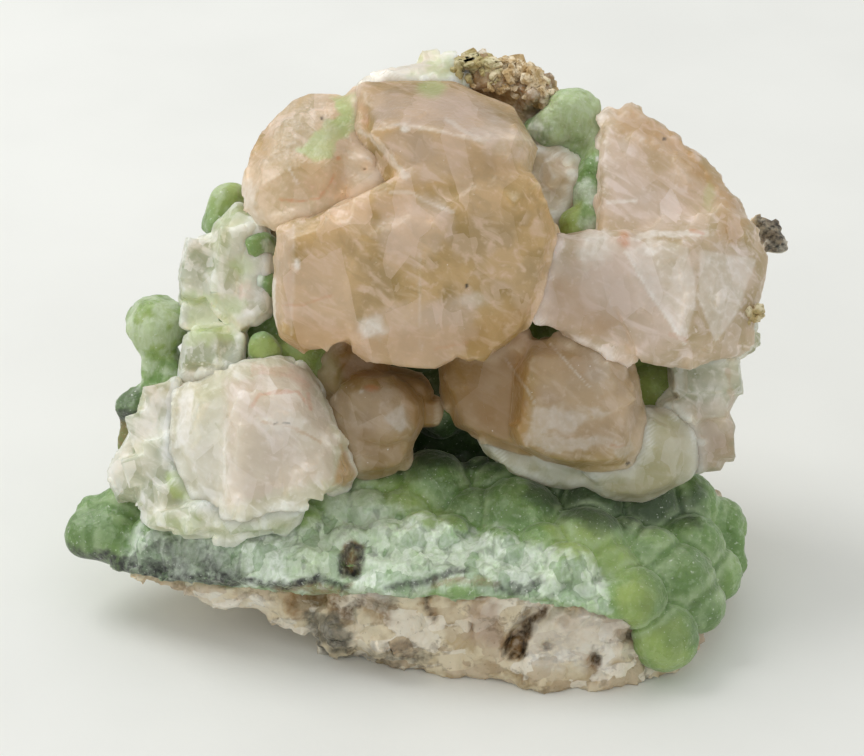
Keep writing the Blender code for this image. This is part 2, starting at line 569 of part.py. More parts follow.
def matrix_rock():
    """The rock: a base slab, a raised left wing, the wall behind and the rubble on top."""
    base = hull([
        (-16, -18, -3), (-9, -22, -3), (-2, -21, -3), (6, -25, -3), (13, -28, -3), (20, -31, -3),
        (28, -31.5, -3), (36, -30, -3), (42, -26, -3), (46, -18, -3), (50, -8, -3), (52, 0, -3),
        (49, 12, -3), (40, 22, -3), (22, 28, -3), (0, 27, -3), (-14, 22, -3), (-20, 8, -3),
        (-17, -21, 4), (-3, -24, 6), (12, -28.5, 8), (28, -31, 8), (40, -26, 8), (-16, -22, 16),
        (0, -26, 17), (20, -29, 18), (30, -29.5, 16), (48, -14, 6), (52, -2, 6), (51, 10, 14),
        (40, 27, 16), (0, 33, 18), (-20, 28, 16), (-22, 0, 16),
    ])
    wing = hull([
        (-17, -20, 4), (-20, -21, 7.5), (-25, -21.5, 11), (-31, -20.5, 12.5), (-40, -17, 11),
        (-44, -14.5, 9.5), (-49, -12, 11), (-50, -4, 12), (-16, 8, 2), (-40, 10, 10),
        (-20, -19, 16), (-40, -12, 14.5), (-50, 0, 14), (-16, 20, 4), (-36, 16, 12),
    ])
    wall = hull([
        (-30, 16, 16), (46, 14, 14), (-24, 26, 16), (40, 26, 14), (-34, 20, 38), (46, 20, 40),
        (-30, 30, 42), (42, 32, 46), (-28, 28, 62), (44, 26, 56), (-22, 36, 62), (34, 36, 60),
        (-8, 30, 74), (30, 30, 72), (0, 38, 74), (22, 39, 74), (0, 30, 20), (28, 30, 18),
    ])
    crest = hull([
        seen(2, 84, 12), seen(5, 89, 11), seen(9, 90, 11), seen(15, 89, 11), seen(20, 86, 11),
        seen(22, 83, 11), seen(18, 80, 13), seen(24, 76, 8), (4, 42, 70), (18, 41, 70),
        (6, 42, 79), (15, 41, 78), (-10, 40, 66), (-9, 42, 73),
    ])
    right_arm = hull([
        (40, 18, 36), (40, 32, 36), seen(54, 58, 6), seen(57.5, 61, 2), seen(57, 59, 5), (48, 34, 52),
        (36, 36, 60), seen(50, 67, 4), seen(53, 49, 6),
    ])
    back_bulges = [
        # x, y, z, radius
        (-18, 26, 30, 11), (14, 30, 34, 12), (34, 24, 28, 11), (-10, 30, 54, 11), (20, 34, 60, 9),
        (38, 28, 48, 9), (2, 28, 16, 10), (-26, 26, 48, 8), (30, 16, 12, 13), (4, 36, 68, 8),
    ]
    rubble = [
        # across, up, toward, radius
        (5.5, 88, 12, 2.0), (9, 88.6, 12, 2.2), (12.5, 88.3, 12, 2.2), (16.5, 87.5, 12, 2.4),
        (20, 85, 12, 2.2), (13, 86, 15, 2.6), (17, 84.5, 15, 2.2), (9, 87, 14, 2.6),
        (57.8, 60.3, 3, 2.6), (56, 62.6, 3, 1.8), (59.2, 58.5, 3, 1.8), (-8, -6, 24, 4.5),
        (-13, -5, 22, 4.0), (-4, -8, 25, 3.0),
    ]
    forms = [base, wing, wall, crest, right_arm]
    for x, y, z, radius in back_bulges:
        forms.append(ball((x, y, z), radius))
    for across, up, toward, radius in rubble:
        forms.append(ball(seen(across, up, toward), radius))
    return join_and_remesh(forms, ROCK_VOXEL, ROCK_BUMP, ROCK_PATCH, ROCK_FACES)


def vugs():
    """The holes in the front: one through the crust's edge, and three in the rock."""
    return [
        ball(seen(-12.3, 6.3, 36.5), 2.9, 1.5),
        ball(seen(15, -8, 39), 2.2, 1.5),
        ball(seen(16.6, -5.8, 39), 1.8, 1.3),
        ball(seen(18, -3.2, 39), 1.3, 1.2),
        ball(seen(34.8, -6.4, 34), 1.9),
        ball(seen(28.6, -10.4, 36), 1.2, 1.4),
    ]


def cut_foot(rock):
    """Saw the rock off flat at the table."""
    bench = hull([(x, y, z) for x in (-90, 90) for y in (-90, 90) for z in (-20, 0)])
    boolean(rock, [bench], "DIFFERENCE")
    remove_objects([bench])


def material(name, colour, roughness):
    finish = bpy.data.materials.new(name)
    finish.use_nodes = True
    shader = finish.node_tree.nodes["Principled BSDF"]
    shader.inputs["Base Color"].default_value = colour
    shader.inputs["Roughness"].default_value = roughness
    shader.inputs["Metallic"].default_value = 0.0
    return finish


def finish(thing, name, look):
    """Name a solid, move it to the origin's frame and give it its material."""
    thing.name = name
    thing.data.name = name
    thing.data.transform(Matrix.Translation(Vector(ORIGIN_SHIFT) * MM))
    thing.data.materials.clear()
    thing.data.materials.append(look)


def build():
    for thing in list(bpy.data.objects):
        bpy.data.objects.remove(thing)

    pale = material("calcite_pale", CALCITE_PALE, 0.4)
    peach = material("calcite_peach", CALCITE_PEACH, 0.4)
    green = material("prehnite", PREHNITE_GREEN, 0.45)
    tan = material("matrix_rock", ROCK_TAN, 0.8)

    # Each crystal is cut back from the ones that grew in front of it
    crystals = [
        ("calcite_centre", calcite_centre, peach),
        ("calcite_right", calcite_right, peach),
        ("calcite_upper_left", calcite_upper_left, peach),
        ("calcite_white_block", calcite_white_block, pale),
        ("calcite_egg", calcite_egg, peach),
        ("calcite_pale_lobe", calcite_pale_lobe, pale),
        ("calcite_small", calcite_small, peach),
        ("calcite_left_lumps", calcite_left_lumps, pale),
        ("calcite_left_stack", calcite_left_stack, pale),
        ("calcite_right_stack", calcite_right_stack, pale),
        ("prehnite_knobs", prehnite_knobs, green),
        ("calcite_groove", calcite_groove, pale),
        ("calcite_top", calcite_top, pale),
    ]
    clearances = []
    for name, make, look in crystals:
        individuals = make()
        room = [swollen(individual, GAP) for individual in individuals]
        solid = fuse(individuals)
        if clearances:
            boolean(solid, clearances, "DIFFERENCE")
        keep_largest_body(solid)
        finish(solid, name, look)
        clearances += room

    rock = matrix_rock()
    cut_foot(rock)
    rock_room = swollen(rock, GAP)
    crust = prehnite_crust()
    holes = vugs()
    fit_behind(crust, clearances + holes + [rock_room])
    fit_behind(rock, clearances + holes)
    finish(crust, "prehnite_crust", green)
    finish(rock, "matrix_rock", tan)
    remove_objects(clearances + holes + [rock_room])


build()
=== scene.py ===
# %% [markdown]
# # A calcite specimen
#
# Peach calcite crystals have grown on a green crust of prehnite, and the crust sits on a light,
# vuggy rock. The solids of the frame already have the right forms and sizes, but they are faceted
# and plain. This lesson gives them their skins: worn crystal faces with steps and veils, a crust of
# small round balls with a broken, fibrous front, and a rock with grains, holes and rust.

import math

import bmesh
import bpy
import numpy as np
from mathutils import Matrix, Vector


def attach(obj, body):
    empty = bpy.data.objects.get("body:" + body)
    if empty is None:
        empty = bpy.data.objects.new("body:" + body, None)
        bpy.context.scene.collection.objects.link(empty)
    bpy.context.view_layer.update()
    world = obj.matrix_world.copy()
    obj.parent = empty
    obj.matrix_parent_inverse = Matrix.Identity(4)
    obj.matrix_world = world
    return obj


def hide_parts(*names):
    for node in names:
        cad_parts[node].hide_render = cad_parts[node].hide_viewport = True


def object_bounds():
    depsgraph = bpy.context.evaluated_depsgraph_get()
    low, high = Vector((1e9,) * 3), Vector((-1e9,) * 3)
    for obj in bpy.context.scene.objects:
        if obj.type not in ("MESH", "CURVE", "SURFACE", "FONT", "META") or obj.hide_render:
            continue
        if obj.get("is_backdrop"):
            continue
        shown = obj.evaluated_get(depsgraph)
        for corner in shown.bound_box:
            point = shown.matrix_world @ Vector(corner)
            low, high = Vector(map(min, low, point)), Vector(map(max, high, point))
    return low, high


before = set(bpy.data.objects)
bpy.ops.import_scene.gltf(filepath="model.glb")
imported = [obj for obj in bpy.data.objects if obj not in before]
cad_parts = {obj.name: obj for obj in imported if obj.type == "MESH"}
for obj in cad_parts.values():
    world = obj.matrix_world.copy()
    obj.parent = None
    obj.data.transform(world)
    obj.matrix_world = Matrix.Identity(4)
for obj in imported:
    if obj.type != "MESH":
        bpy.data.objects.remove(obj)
CAD_LOW, CAD_HIGH = (np.array(corner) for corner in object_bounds())
MM = 0.001
print("solids in the frame:", len(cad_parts), "box in mm:", ((CAD_HIGH - CAD_LOW) / MM).round(1))

# %% [markdown]
# ## One way of giving places
#
# Most marks on the specimen, such as a rust streak or a broken patch, are easiest to place as they
# are seen: so many millimetres across, so many up, on a plane that leans back by 30 degrees. The
# third number, toward, grows out of that plane to the eye. The frame's solids were laid out with
# the same three numbers, so a mark lands on its crystal.
#
# Two functions turn points back and forth between that plane and x, y, z. They work on whole
# arrays, because a skin here has tens of thousands of points.

# %% Between the leaning plane and x, y, z
VIEW_TILT = math.radians(30.0)
VIEW_DISTANCE = 600.0                   # mm from the eye to the aim point
AIM = (1.33, 36.67, 25.0)               # across, up, toward
SHIFT = np.array((-0.8, -5.8, 0.0))     # mm, brings the origin under the middle
LEAN_SIN, LEAN_COS = math.sin(VIEW_TILT), math.cos(VIEW_TILT)
TO_EYE = np.array((0.0, -LEAN_COS, LEAN_SIN))


def as_seen(points):
    """Across, up and toward of points in metres: a turn by the tilt, then the eye's perspective."""
    x, y, z = (points / MM - SHIFT).T
    up = y * LEAN_SIN + z * LEAN_COS
    toward = z * LEAN_SIN - y * LEAN_COS
    scale = (VIEW_DISTANCE + AIM[2] - toward) / VIEW_DISTANCE
    return AIM[0] + (x - AIM[0]) / scale, AIM[1] + (up - AIM[1]) / scale, toward


def placed(across, up, toward):
    """The points in metres that show at (across, up) and stand out by toward."""
    across, up, toward = np.broadcast_arrays(*(np.asarray(v, float) for v in (across, up, toward)))
    scale = (VIEW_DISTANCE + AIM[2] - toward) / VIEW_DISTANCE
    x = AIM[0] + (across - AIM[0]) * scale
    up = AIM[1] + (up - AIM[1]) * scale
    y = up * LEAN_SIN - toward * LEAN_COS
    z = up * LEAN_COS + toward * LEAN_SIN
    return (np.stack((x, y, z), axis=-1) + SHIFT) * MM


def placed_at_height(across, up, height):
    """The same for points whose height above the table is known: toward follows from it."""
    toward = np.zeros(len(across))
    for _ in range(6):
        toward += (height - placed(across, up, toward)[:, 2] / MM) / LEAN_SIN
    return placed(across, up, toward)


there_and_back = placed(*as_seen(np.array([[0.01, -0.02, 0.03]])))
print("a point goes to the plane and back:", there_and_back.round(6))

# %% [markdown]
# ## Noise from whole arrays
#
# Nature's roughness is random but not without size: each kind of bump has a width. Gradient noise
# gives smooth bumps of one width, and a few of them added, each half as wide and half as high,
# give the look of weathered stone. The random numbers come from a formula on the corner's whole
# numbers and not from a generator, so a point always gets the same bump.

# %% Smooth noise
def lattice_random(i, j, k, seed):
    """A number from 0 to 1 for each whole-number corner: its three counts are mixed and stirred."""
    mixed = i.astype(np.uint32) * np.uint32(73856093)
    mixed ^= j.astype(np.uint32) * np.uint32(19349663)
    mixed ^= k.astype(np.uint32) * np.uint32(83492791)
    mixed += np.uint32((seed * 2654435761) % 4294967296)
    mixed = (mixed ^ (mixed >> np.uint32(15))) * np.uint32(2246822519)
    mixed = (mixed ^ (mixed >> np.uint32(13))) * np.uint32(3266489917)
    return (mixed ^ (mixed >> np.uint32(16))).astype(np.float64) / 4294967295.0


def smooth_noise(places, seed=0):
    """Gradient noise from about -1 to 1: each corner has a slope, and slopes blend by a soft curve."""
    cell = np.floor(places).astype(np.int64)
    inside = places - cell
    blend = inside**3 * (inside * (inside * 6.0 - 15.0) + 10.0)
    total = np.zeros(len(places))
    for di in (0, 1):
        for dj in (0, 1):
            for dk in (0, 1):
                corner = (cell[:, 0] + di, cell[:, 1] + dj, cell[:, 2] + dk)
                share = np.ones(len(places))
                slope = np.zeros(len(places))
                for axis, step in enumerate((di, dj, dk)):
                    share *= blend[:, axis] if step else 1.0 - blend[:, axis]
                    gradient = 2.0 * lattice_random(*corner, seed * 7 + axis) - 1.0
                    slope += gradient * (inside[:, axis] - step)
                total += share * slope
    return total * 1.6                  # brings the sum to about -1 to 1


def rough_noise(points, width, octaves=4, seed=0, stretch=(1.0, 1.0, 1.0)):
    """Noise of several widths added: each octave is half as wide and half as high as the last."""
    places = points / (width * MM) / np.asarray(stretch)
    total = np.zeros(len(points))
    for octave in range(octaves):
        total += smooth_noise(places * 2.0**octave, seed + octave) * 0.5**octave
    return total


def smooth_step(low, high, value):
    """0 below low, 1 above high, and a soft S between."""
    share = np.clip((value - low) / (high - low), 0.0, 1.0)
    return share * share * (3.0 - 2.0 * share)


sample = rough_noise(np.random.default_rng(1).random((2000, 3)) * 0.1, 8.0)
print("noise runs from", sample.min().round(2), "to", sample.max().round(2))

# %% [markdown]
# ## Cleavage blocks
#
# Calcite breaks along three directions that cross at about 75 and 105 degrees, so a broken or
# etched face is a mosaic of small slanted blocks. Cells are the usual way to make a mosaic: every
# point belongs to the nearest of many scattered centres. Measured in calcite's own slanted axes,
# and by the largest of the three distances, the cells come out as slanted blocks and not as
# pebbles, which is why these two changes are made here.

# %% Calcite's three directions
CLEAVAGE = np.array(((1.0, 0.0, 0.0), (0.26, 0.97, 0.0), (0.26, 0.20, 0.94)))


def turned(axes, about_x, about_y, about_z):
    """The three axes after turns about x, y and z in degrees."""
    turn = np.eye(3)
    for axis, angle in enumerate((about_x, about_y, about_z)):
        cos, sin = math.cos(math.radians(angle)), math.sin(math.radians(angle))
        one = np.eye(3)
        first, second = (axis + 1) % 3, (axis + 2) % 3
        one[first, first] = one[second, second] = cos
        one[first, second], one[second, first] = -sin, sin
        turn = one @ turn
    return axes @ turn.T

# %% Which cell a point is in
def cells(points, size, seed=0, axes=None, jitter=0.8, blocky=False):
    """Nearest of many scattered centres, for each point.

    Returns the share of the way to the next cell's border (0 on it), three random numbers of the
    cell, and the point's offset from the centre in cell sizes.
    """
    places = points / (size * MM)
    if axes is not None:
        places = places @ np.linalg.inv(axes)
    home = np.floor(places).astype(np.int64)
    nearest = np.full(len(points), 9.0)
    second = np.full(len(points), 9.0)
    random = np.zeros((len(points), 3))
    offset = np.zeros((len(points), 3))
    for di in (-1, 0, 1):
        for dj in (-1, 0, 1):
            for dk in (-1, 0, 1):
                at = (home[:, 0] + di, home[:, 1] + dj, home[:, 2] + dk)
                draw = np.stack([lattice_random(*at, seed * 5 + n) for n in range(3)], axis=1)
                centre = np.stack(at, axis=1) + 0.5 + jitter * (draw - 0.5)
                gap = places - centre
                length = np.abs(gap).max(axis=1) if blocky else np.linalg.norm(gap, axis=1)
                closer = length < nearest
                second = np.where(closer, nearest, np.minimum(second, length))
                nearest = np.where(closer, length, nearest)
                random[closer] = draw[closer]
                offset[closer] = gap[closer]
    return second - nearest, random, offset

# %% [markdown]
# ## Melting a solid into a fine skin
#
# A crystal group isn't one function of two parameters, so its skin is made another way. A copy of
# the frame's solid is melted into small squares of one size by a voxel remesh, which also fuses
# whatever is pushed into it. A little smoothing rounds the edges as wear and solution do. After
# that each of the points can be moved at once, with numpy.

# %% Meshes and copies
def link_piece(name, mesh):
    """An object at the origin for a mesh, or for a lamp or a camera."""
    piece = bpy.data.objects.new(name, mesh)
    bpy.context.scene.collection.objects.link(piece)
    return piece


def new_mesh(name, points, faces):
    """A mesh from an array of points and an array of faces."""
    mesh = bpy.data.meshes.new(name)
    mesh.from_pydata(points, [], faces)
    return mesh


def copy_of_solid(name, node, extras=()):
    """A copy of a frame solid with its loose triangles merged, and extra closed shells added."""
    form = bmesh.new()
    form.from_mesh(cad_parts[node].data)
    bmesh.ops.remove_doubles(form, verts=form.verts, dist=0.001 * MM)
    for points, faces in extras:
        shell = new_mesh("shell", points, faces)
        form.from_mesh(shell)
        bpy.data.meshes.remove(shell)
    mesh = bpy.data.meshes.new(name)
    form.to_mesh(mesh)
    form.free()
    return link_piece(name, mesh)

# %% Remesh and smoothing
def melt(piece, voxel):
    """Replace the mesh with even squares of one size, fused where shells overlap."""
    remesh = piece.modifiers.new("melt", "REMESH")
    remesh.mode = "VOXEL"
    remesh.voxel_size = voxel * MM
    graph = bpy.context.evaluated_depsgraph_get()
    melted = bpy.data.meshes.new_from_object(piece.evaluated_get(graph))
    piece.modifiers.clear()
    piece.data = melted
    melted.name = piece.name
    melted.polygons.foreach_set("use_smooth", np.ones(len(melted.polygons), bool))


def read_threes(items, name):
    """An array with three numbers of each item, such as a place or a normal."""
    numbers = np.empty(len(items) * 3, np.float32)
    items.foreach_get(name, numbers)
    return numbers.reshape(-1, 3).astype(np.float64)


def read_points(piece):
    """The mesh's points in metres."""
    return read_threes(piece.data.vertices, "co")


def read_normals(piece):
    """The way that the surface faces at each point."""
    return read_threes(piece.data.vertex_normals, "vector")


def write_points(piece, points):
    """Put moved points back into the mesh."""
    piece.data.vertices.foreach_set("co", points.astype(np.float32).ravel())
    piece.data.update()


def neighbour_mean(piece, values):
    """For each point the mean of a value over the points it shares an edge with."""
    edges = np.empty(len(piece.data.edges) * 2, np.int32)
    piece.data.edges.foreach_get("vertices", edges)
    edges = edges.reshape(-1, 2)
    start = np.concatenate((edges[:, 0], edges[:, 1]))
    end = np.concatenate((edges[:, 1], edges[:, 0]))
    count = np.maximum(np.bincount(start, minlength=len(values)), 1)
    columns = [np.bincount(start, weights=column[end], minlength=len(values)) for column in values.T]
    return np.stack(columns, axis=1) / count[:, None]


def smooth(piece, rounds):
    """Move each point halfway to the middle of its neighbours, a few rounds over."""
    points = read_points(piece)
    for _ in range(rounds):
        points += 0.5 * (neighbour_mean(piece, points) - points)
    write_points(piece, points)


def edge_sharpness(piece):
    """How far each point stands out of its neighbours, spread a little: high on worn edges."""
    points = read_points(piece)
    inward = neighbour_mean(piece, points) - points
    stands_out = -(inward * read_normals(piece)).sum(axis=1, keepdims=True)
    for _ in range(3):
        stands_out = neighbour_mean(piece, stands_out)
    return stands_out[:, 0] / MM

# %% [markdown]
# ## Marks
#
# A stain, a veil or a broken patch is stored as a number on each point, an attribute, and the
# material mixes its colours by it. A mark is given by its outline on the leaning plane. The
# distance to the outline, made ragged by noise, decides how strong it is, so that no border is
# a clean curve. Marks only take where the surface faces the eye's side, and fade out behind.

# %% Distances on the leaning plane
def line_distance(across, up, path, closed=False):
    """The distance from each point to a line through the path's points, in mm."""
    path = np.asarray(path, float)
    start = path if closed else path[:-1]
    end = np.roll(path, -1, axis=0) if closed else path[1:]
    along = end - start
    reach = np.stack((across, up), axis=1)[:, None, :] - start
    length = np.maximum((along**2).sum(axis=1), 1e-9)
    share = np.clip((reach * along).sum(axis=2) / length, 0.0, 1.0)
    return np.linalg.norm(reach - share[..., None] * along, axis=2).min(axis=1)


def depth_inside(across, up, outline):
    """The distance to a closed outline, above 0 inside and below 0 outside, by counting crossings."""
    start = np.asarray(outline, float)
    end = np.roll(start, -1, axis=0)
    above = (start[:, 1] > up[:, None]) != (end[:, 1] > up[:, None])
    rise = np.where(end[:, 1] == start[:, 1], 1e-9, end[:, 1] - start[:, 1])
    cross_at = start[:, 0] + (up[:, None] - start[:, 1]) / rise * (end[:, 0] - start[:, 0])
    inside = ((above & (across[:, None] < cross_at)).sum(axis=1) % 2).astype(bool)
    distance = line_distance(across, up, outline, closed=True)
    return np.where(inside, distance, -distance)

# %% A skin and its shapes for marks
class Skin:
    """A piece's points, normals and places on the leaning plane, read once for all its marks."""

    def __init__(self, piece):
        self.piece = piece
        self.refresh()

    def refresh(self):
        self.points = read_points(self.piece)
        self.normals = read_normals(self.piece)
        self.across, self.up, self.toward = as_seen(self.points)
        self.faces_eye = smooth_step(-0.05, 0.25, self.normals @ TO_EYE)
        self.ragged = rough_noise(self.points, 2.5, 3, seed=11)

    def move(self, heights):
        """Move every point along its normal by a height in mm."""
        write_points(self.piece, self.points + self.normals * (heights * MM)[:, None])
        self.refresh()

    def move_to_eye(self, distance):
        """Move every point straight towards the eye's side by a distance in mm."""
        write_points(self.piece, self.points + TO_EYE * (distance * MM)[:, None])
        self.refresh()

    def calm(self, mask, rounds):
        """Smooth the points again, only where the mask is above 0."""
        points = self.points.copy()
        for _ in range(rounds):
            points += 0.5 * mask[:, None] * (neighbour_mean(self.piece, points) - points)
        write_points(self.piece, points)
        self.refresh()

    def spot(self, centre, size, strength=1.0, soft=0.35, ragged=0.25):
        """An oval of half-widths size, in mm."""
        reach = np.hypot((self.across - centre[0]) / size[0], (self.up - centre[1]) / size[1])
        reach += self.ragged * ragged
        return strength * (1.0 - smooth_step(1.0 - soft, 1.0 + soft, reach)) * self.faces_eye

    def stroke(self, path, width, strength=1.0, ragged=0.3):
        """A band of a half-width in mm along a path."""
        reach = line_distance(self.across, self.up, path) / width + self.ragged * ragged
        return strength * (1.0 - smooth_step(0.5, 1.3, reach)) * self.faces_eye

    def patch(self, outline, strength=1.0, soft=0.6, ragged=0.6):
        """The inside of an outline, with a border as soft and as ragged as these mm say."""
        depth = depth_inside(self.across, self.up, outline) + self.ragged * ragged
        return strength * smooth_step(-soft, soft, depth) * self.faces_eye

    def store(self, name, *layers):
        """Keep the strongest of several layers as a number on each point."""
        values = np.zeros(len(self.points)) if not layers else np.max(np.stack(layers), axis=0)
        attribute = self.piece.data.attributes.new(name, "FLOAT", "POINT")
        attribute.data.foreach_set("value", np.clip(values, 0.0, 1.0).astype(np.float32))

# %% [markdown]
# ## Many small shells at once
#
# Chips, grains and balls are too many to make one by one. Each kind is one closed surface, worked
# out once on a grid, and then copied by whole arrays: every copy is scaled, turned and moved at the
# same time. A ball is a function of two angles. A cleavage block is the eight corners of a box in
# calcite's slanted axes.

# %% One ball and one block
def unit_ball(rings=7, around=12, bluntness=1.0):
    """Points and faces of a ball: sines and cosines of two angles, to a power below 1 for a blocky one."""
    polar = np.pi * np.arange(1, rings) / rings
    turn = 2.0 * np.pi * np.arange(around) / around

    def blunt(value):
        return np.sign(value) * np.abs(value) ** bluntness

    polar, turn = np.meshgrid(polar, turn, indexing="ij")
    side = blunt(np.sin(polar))
    x, y, z = side * blunt(np.cos(turn)), side * blunt(np.sin(turn)), blunt(np.cos(polar))
    grid = np.stack((x, y, z), axis=-1).reshape(-1, 3)
    points = np.concatenate((grid, [(0, 0, 1), (0, 0, -1)]))
    number = np.arange((rings - 1) * around).reshape(rings - 1, around)
    after = np.roll(number, -1, axis=1)
    faces = np.stack((number[:-1], number[1:], after[1:], after[:-1]), axis=-1).reshape(-1, 4).tolist()
    top, bottom = len(points) - 2, len(points) - 1
    faces += [[top, a, b] for a, b in zip(number[0], after[0])]
    faces += [[bottom, b, a] for a, b in zip(number[-1], after[-1])]
    return points, faces


def unit_block():
    """The eight corners of a box from -1 to 1 and its six faces."""
    corners = np.array([(x, y, z) for x in (-1, 1) for y in (-1, 1) for z in (-1, 1)], float)
    faces = [[0, 1, 3, 2], [4, 6, 7, 5], [0, 4, 5, 1], [2, 3, 7, 6], [0, 2, 6, 4], [1, 5, 7, 3]]
    return corners, faces


print("a ball has", len(unit_ball()[1]), "faces and a block has", len(unit_block()[1]))

# %% Many copies of one shell
def copies(unit, centres, sizes, frames):
    """One set of points and faces for many copies of a shell.

    A copy's point is its centre plus the unit's point, scaled by the copy's three sizes in mm and
    laid along the three axes of its frame.
    """
    points, faces = unit
    scaled = points[None] * (np.asarray(sizes, float) * MM)[:, None, :]
    laid = np.einsum("nik,nkj->nij", scaled, frames) + np.asarray(centres)[:, None, :]
    count = len(points)
    every = [[corner + n * count for corner in face] for n in range(len(laid)) for face in faces]
    return laid.reshape(-1, 3), every


def random_frames(count, draw):
    """Frames turned every way: two random directions, made square to each other, and their cross."""
    first, second = draw.normal(size=(2, count, 3))
    first /= np.linalg.norm(first, axis=1, keepdims=True)
    second -= (second * first).sum(axis=1, keepdims=True) * first
    second /= np.linalg.norm(second, axis=1, keepdims=True)
    return np.stack((first, second, np.cross(first, second)), axis=1)


def balls(centres, radii, draw):
    """Round balls from centres in metres and radii in mm."""
    sizes = np.repeat(np.asarray(radii, float)[:, None], 3, axis=1)
    return copies(unit_ball(9, 14), centres, sizes, random_frames(len(sizes), draw))

# %% [markdown]
# ## Terraces and corner blocks
#
# A calcite face grows in thin layers, so it carries low terraces with slanted, straight sides. A
# terrace is a block whose top is parallel to the face and stands out a fraction of a millimetre.
# The nearest place where the face falls away limits its size, so that no block hangs over an edge.
#
# Where the crystals are small or broken, it is the corners that show. Those blocks all keep the
# same three slanted axes, as cleavage blocks of one crystal do, and each is sunk into the surface
# until its foremost corner stands out by the wanted amount.

# %% Terraces
def lay_terraces(points, normals, count, size, rise, along, draw):
    """Blocks with tops parallel to the surface at random points of it, half widths from size in mm."""
    chosen = draw.choice(len(points), count, replace=False)
    at, up = points[chosen], normals[chosen]
    along = np.broadcast_to(np.asarray(along, float), up.shape)
    first = along - (along * up).sum(axis=1, keepdims=True) * up
    first /= np.maximum(np.linalg.norm(first, axis=1, keepdims=True), 1e-6)
    second = np.cross(up, first)
    reach = points[None] - at[:, None]
    depth = -(reach * up[:, None]).sum(axis=2) / MM
    sideways = np.linalg.norm(reach, axis=2) / MM
    room = np.where(depth > 0.5, sideways, 99.0).min(axis=1)
    wide = np.minimum(draw.uniform(*size, count), room)
    long = np.minimum(wide * draw.uniform(0.6, 1.5, count), room)
    stands = draw.uniform(*rise, count)
    thick = 0.5 * np.minimum(wide, long) + stands
    slant = 0.26 * first + 0.97 * second
    frames = np.stack((first, slant, up), axis=1)
    centres = at + up * ((stands - thick) * MM)[:, None]
    return copies(unit_block(), centres, np.stack((wide, long, thick), axis=1), frames)

# %% Blocks by their corners
def lay_blocks(points, normals, count, size, rise, axes, draw, outline=None):
    """Slanted blocks of one orientation: each centre lies under the surface by the block's reach
    along the normal, less the rise."""
    if outline:
        across, up, _ = as_seen(points)
        kept = (depth_inside(across, up, outline) > 0.0) & (normals @ TO_EYE > -0.3)
        points, normals = points[kept], normals[kept]
    chosen = draw.choice(len(points), count)
    at, out = points[chosen], normals[chosen]
    half = draw.uniform(*size, count)[:, None] * draw.uniform(0.6, 1.5, (count, 3))
    frames = axes[None] + 0.05 * draw.normal(size=(count, 3, 3))
    reach = (np.abs(np.einsum("nij,nj->ni", frames, out)) * half).sum(axis=1)
    centres = at + out * ((draw.uniform(*rise, count) - reach) * MM)[:, None]
    return copies(unit_block(), centres, half, frames)


def stand_blocks(points, places, spin, draw):
    """Larger blocks that look at the eye: each place is across, up, half width, half height and how
    far its front stands out, in mm. They share a spin in degrees and lean a little each."""
    across, up, toward = as_seen(points)
    upright = (placed(*np.eye(3)) - placed(0, 0, 0)) / MM
    centres, sizes, frames = [], [], []
    for place_across, place_up, wide, tall, rise in places:
        near = np.hypot(across - place_across, up - place_up) < 2.0
        if not near.any():
            continue
        thick = 0.5 * (wide + tall)
        centres.append(placed(place_across, place_up, np.percentile(toward[near], 85) + rise - thick))
        sizes.append((wide, tall, thick))
        frames.append(turned(np.eye(3), *draw.uniform(-14, 14, 2), spin + draw.uniform(-5, 5)) @ upright)
    return copies(unit_block(), np.array(centres), np.array(sizes), np.array(frames))

# %% [markdown]
# ## The calcite crystals
#
# Every crystal group gets the same treatment with its own numbers: how many terraces of what size,
# how far they stand out, and which way their sides run. The big crystals have broad, nearly smooth
# faces with low terraces. The small ones at the edges are broken into deep stairs.

# %% How near the other solids are
WAVE_WIDTH, WAVE_HEIGHT = 10.0, 0.16    # mm, the slow swell of an etched face
GRAIN_WIDTH, GRAIN_HEIGHT = 1.3, 0.035  # mm, its fine roughness
CLOSING = 0.80                          # mm that a crystal grows into its neighbours
GRID = 1.2                              # mm, cell of the grid that finds neighbours
NEAR_ROUNDS = 4                         # times that nearness is spread to the next points
PROBE_VOXEL = 1.0                       # mm, coarse skins that are only measured
ALL_SOLIDS = sorted(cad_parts)


def grid_numbers(points):
    """One whole number for each point's grid cell."""
    i, j, k = np.floor(points / (GRID * MM)).astype(np.int64).T + 500
    return (i * 1000 + j) * 1000 + k


def cells_of_solid(node):
    """The grid cells that a solid's surface goes through, with the cells around them."""
    piece = copy_of_solid("probe", node)
    melt(piece, PROBE_VOXEL)
    points = read_points(piece)
    bpy.data.objects.remove(piece)
    steps = [(i, j, k) for i in (-1, 0, 1) for j in (-1, 0, 1) for k in (-1, 0, 1)]
    around = [grid_numbers(points + np.array(step) * GRID * MM) for step in steps]
    return np.unique(np.concatenate(around))


OCCUPIED = {node: cells_of_solid(node) for node in ALL_SOLIDS}
print("grid cells near solids:", sum(len(found) for found in OCCUPIED.values()))


def nearness(skin, node):
    """From 0 to 1: how near each point is to any other solid, softened over a few points."""
    others = np.unique(np.concatenate([OCCUPIED[other] for other in ALL_SOLIDS if other != node]))
    near = np.isin(grid_numbers(skin.points), others).astype(float)[:, None]
    for _ in range(NEAR_ROUNDS):
        near = neighbour_mean(skin.piece, near)
    return near[:, 0]

# %% From a solid to a skin
def hold_in_box(skin):
    """Keep every point inside the solids' own box, which is the specimen's measured size."""
    write_points(skin.piece, np.clip(skin.points, CAD_LOW, CAD_HIGH))
    skin.refresh()


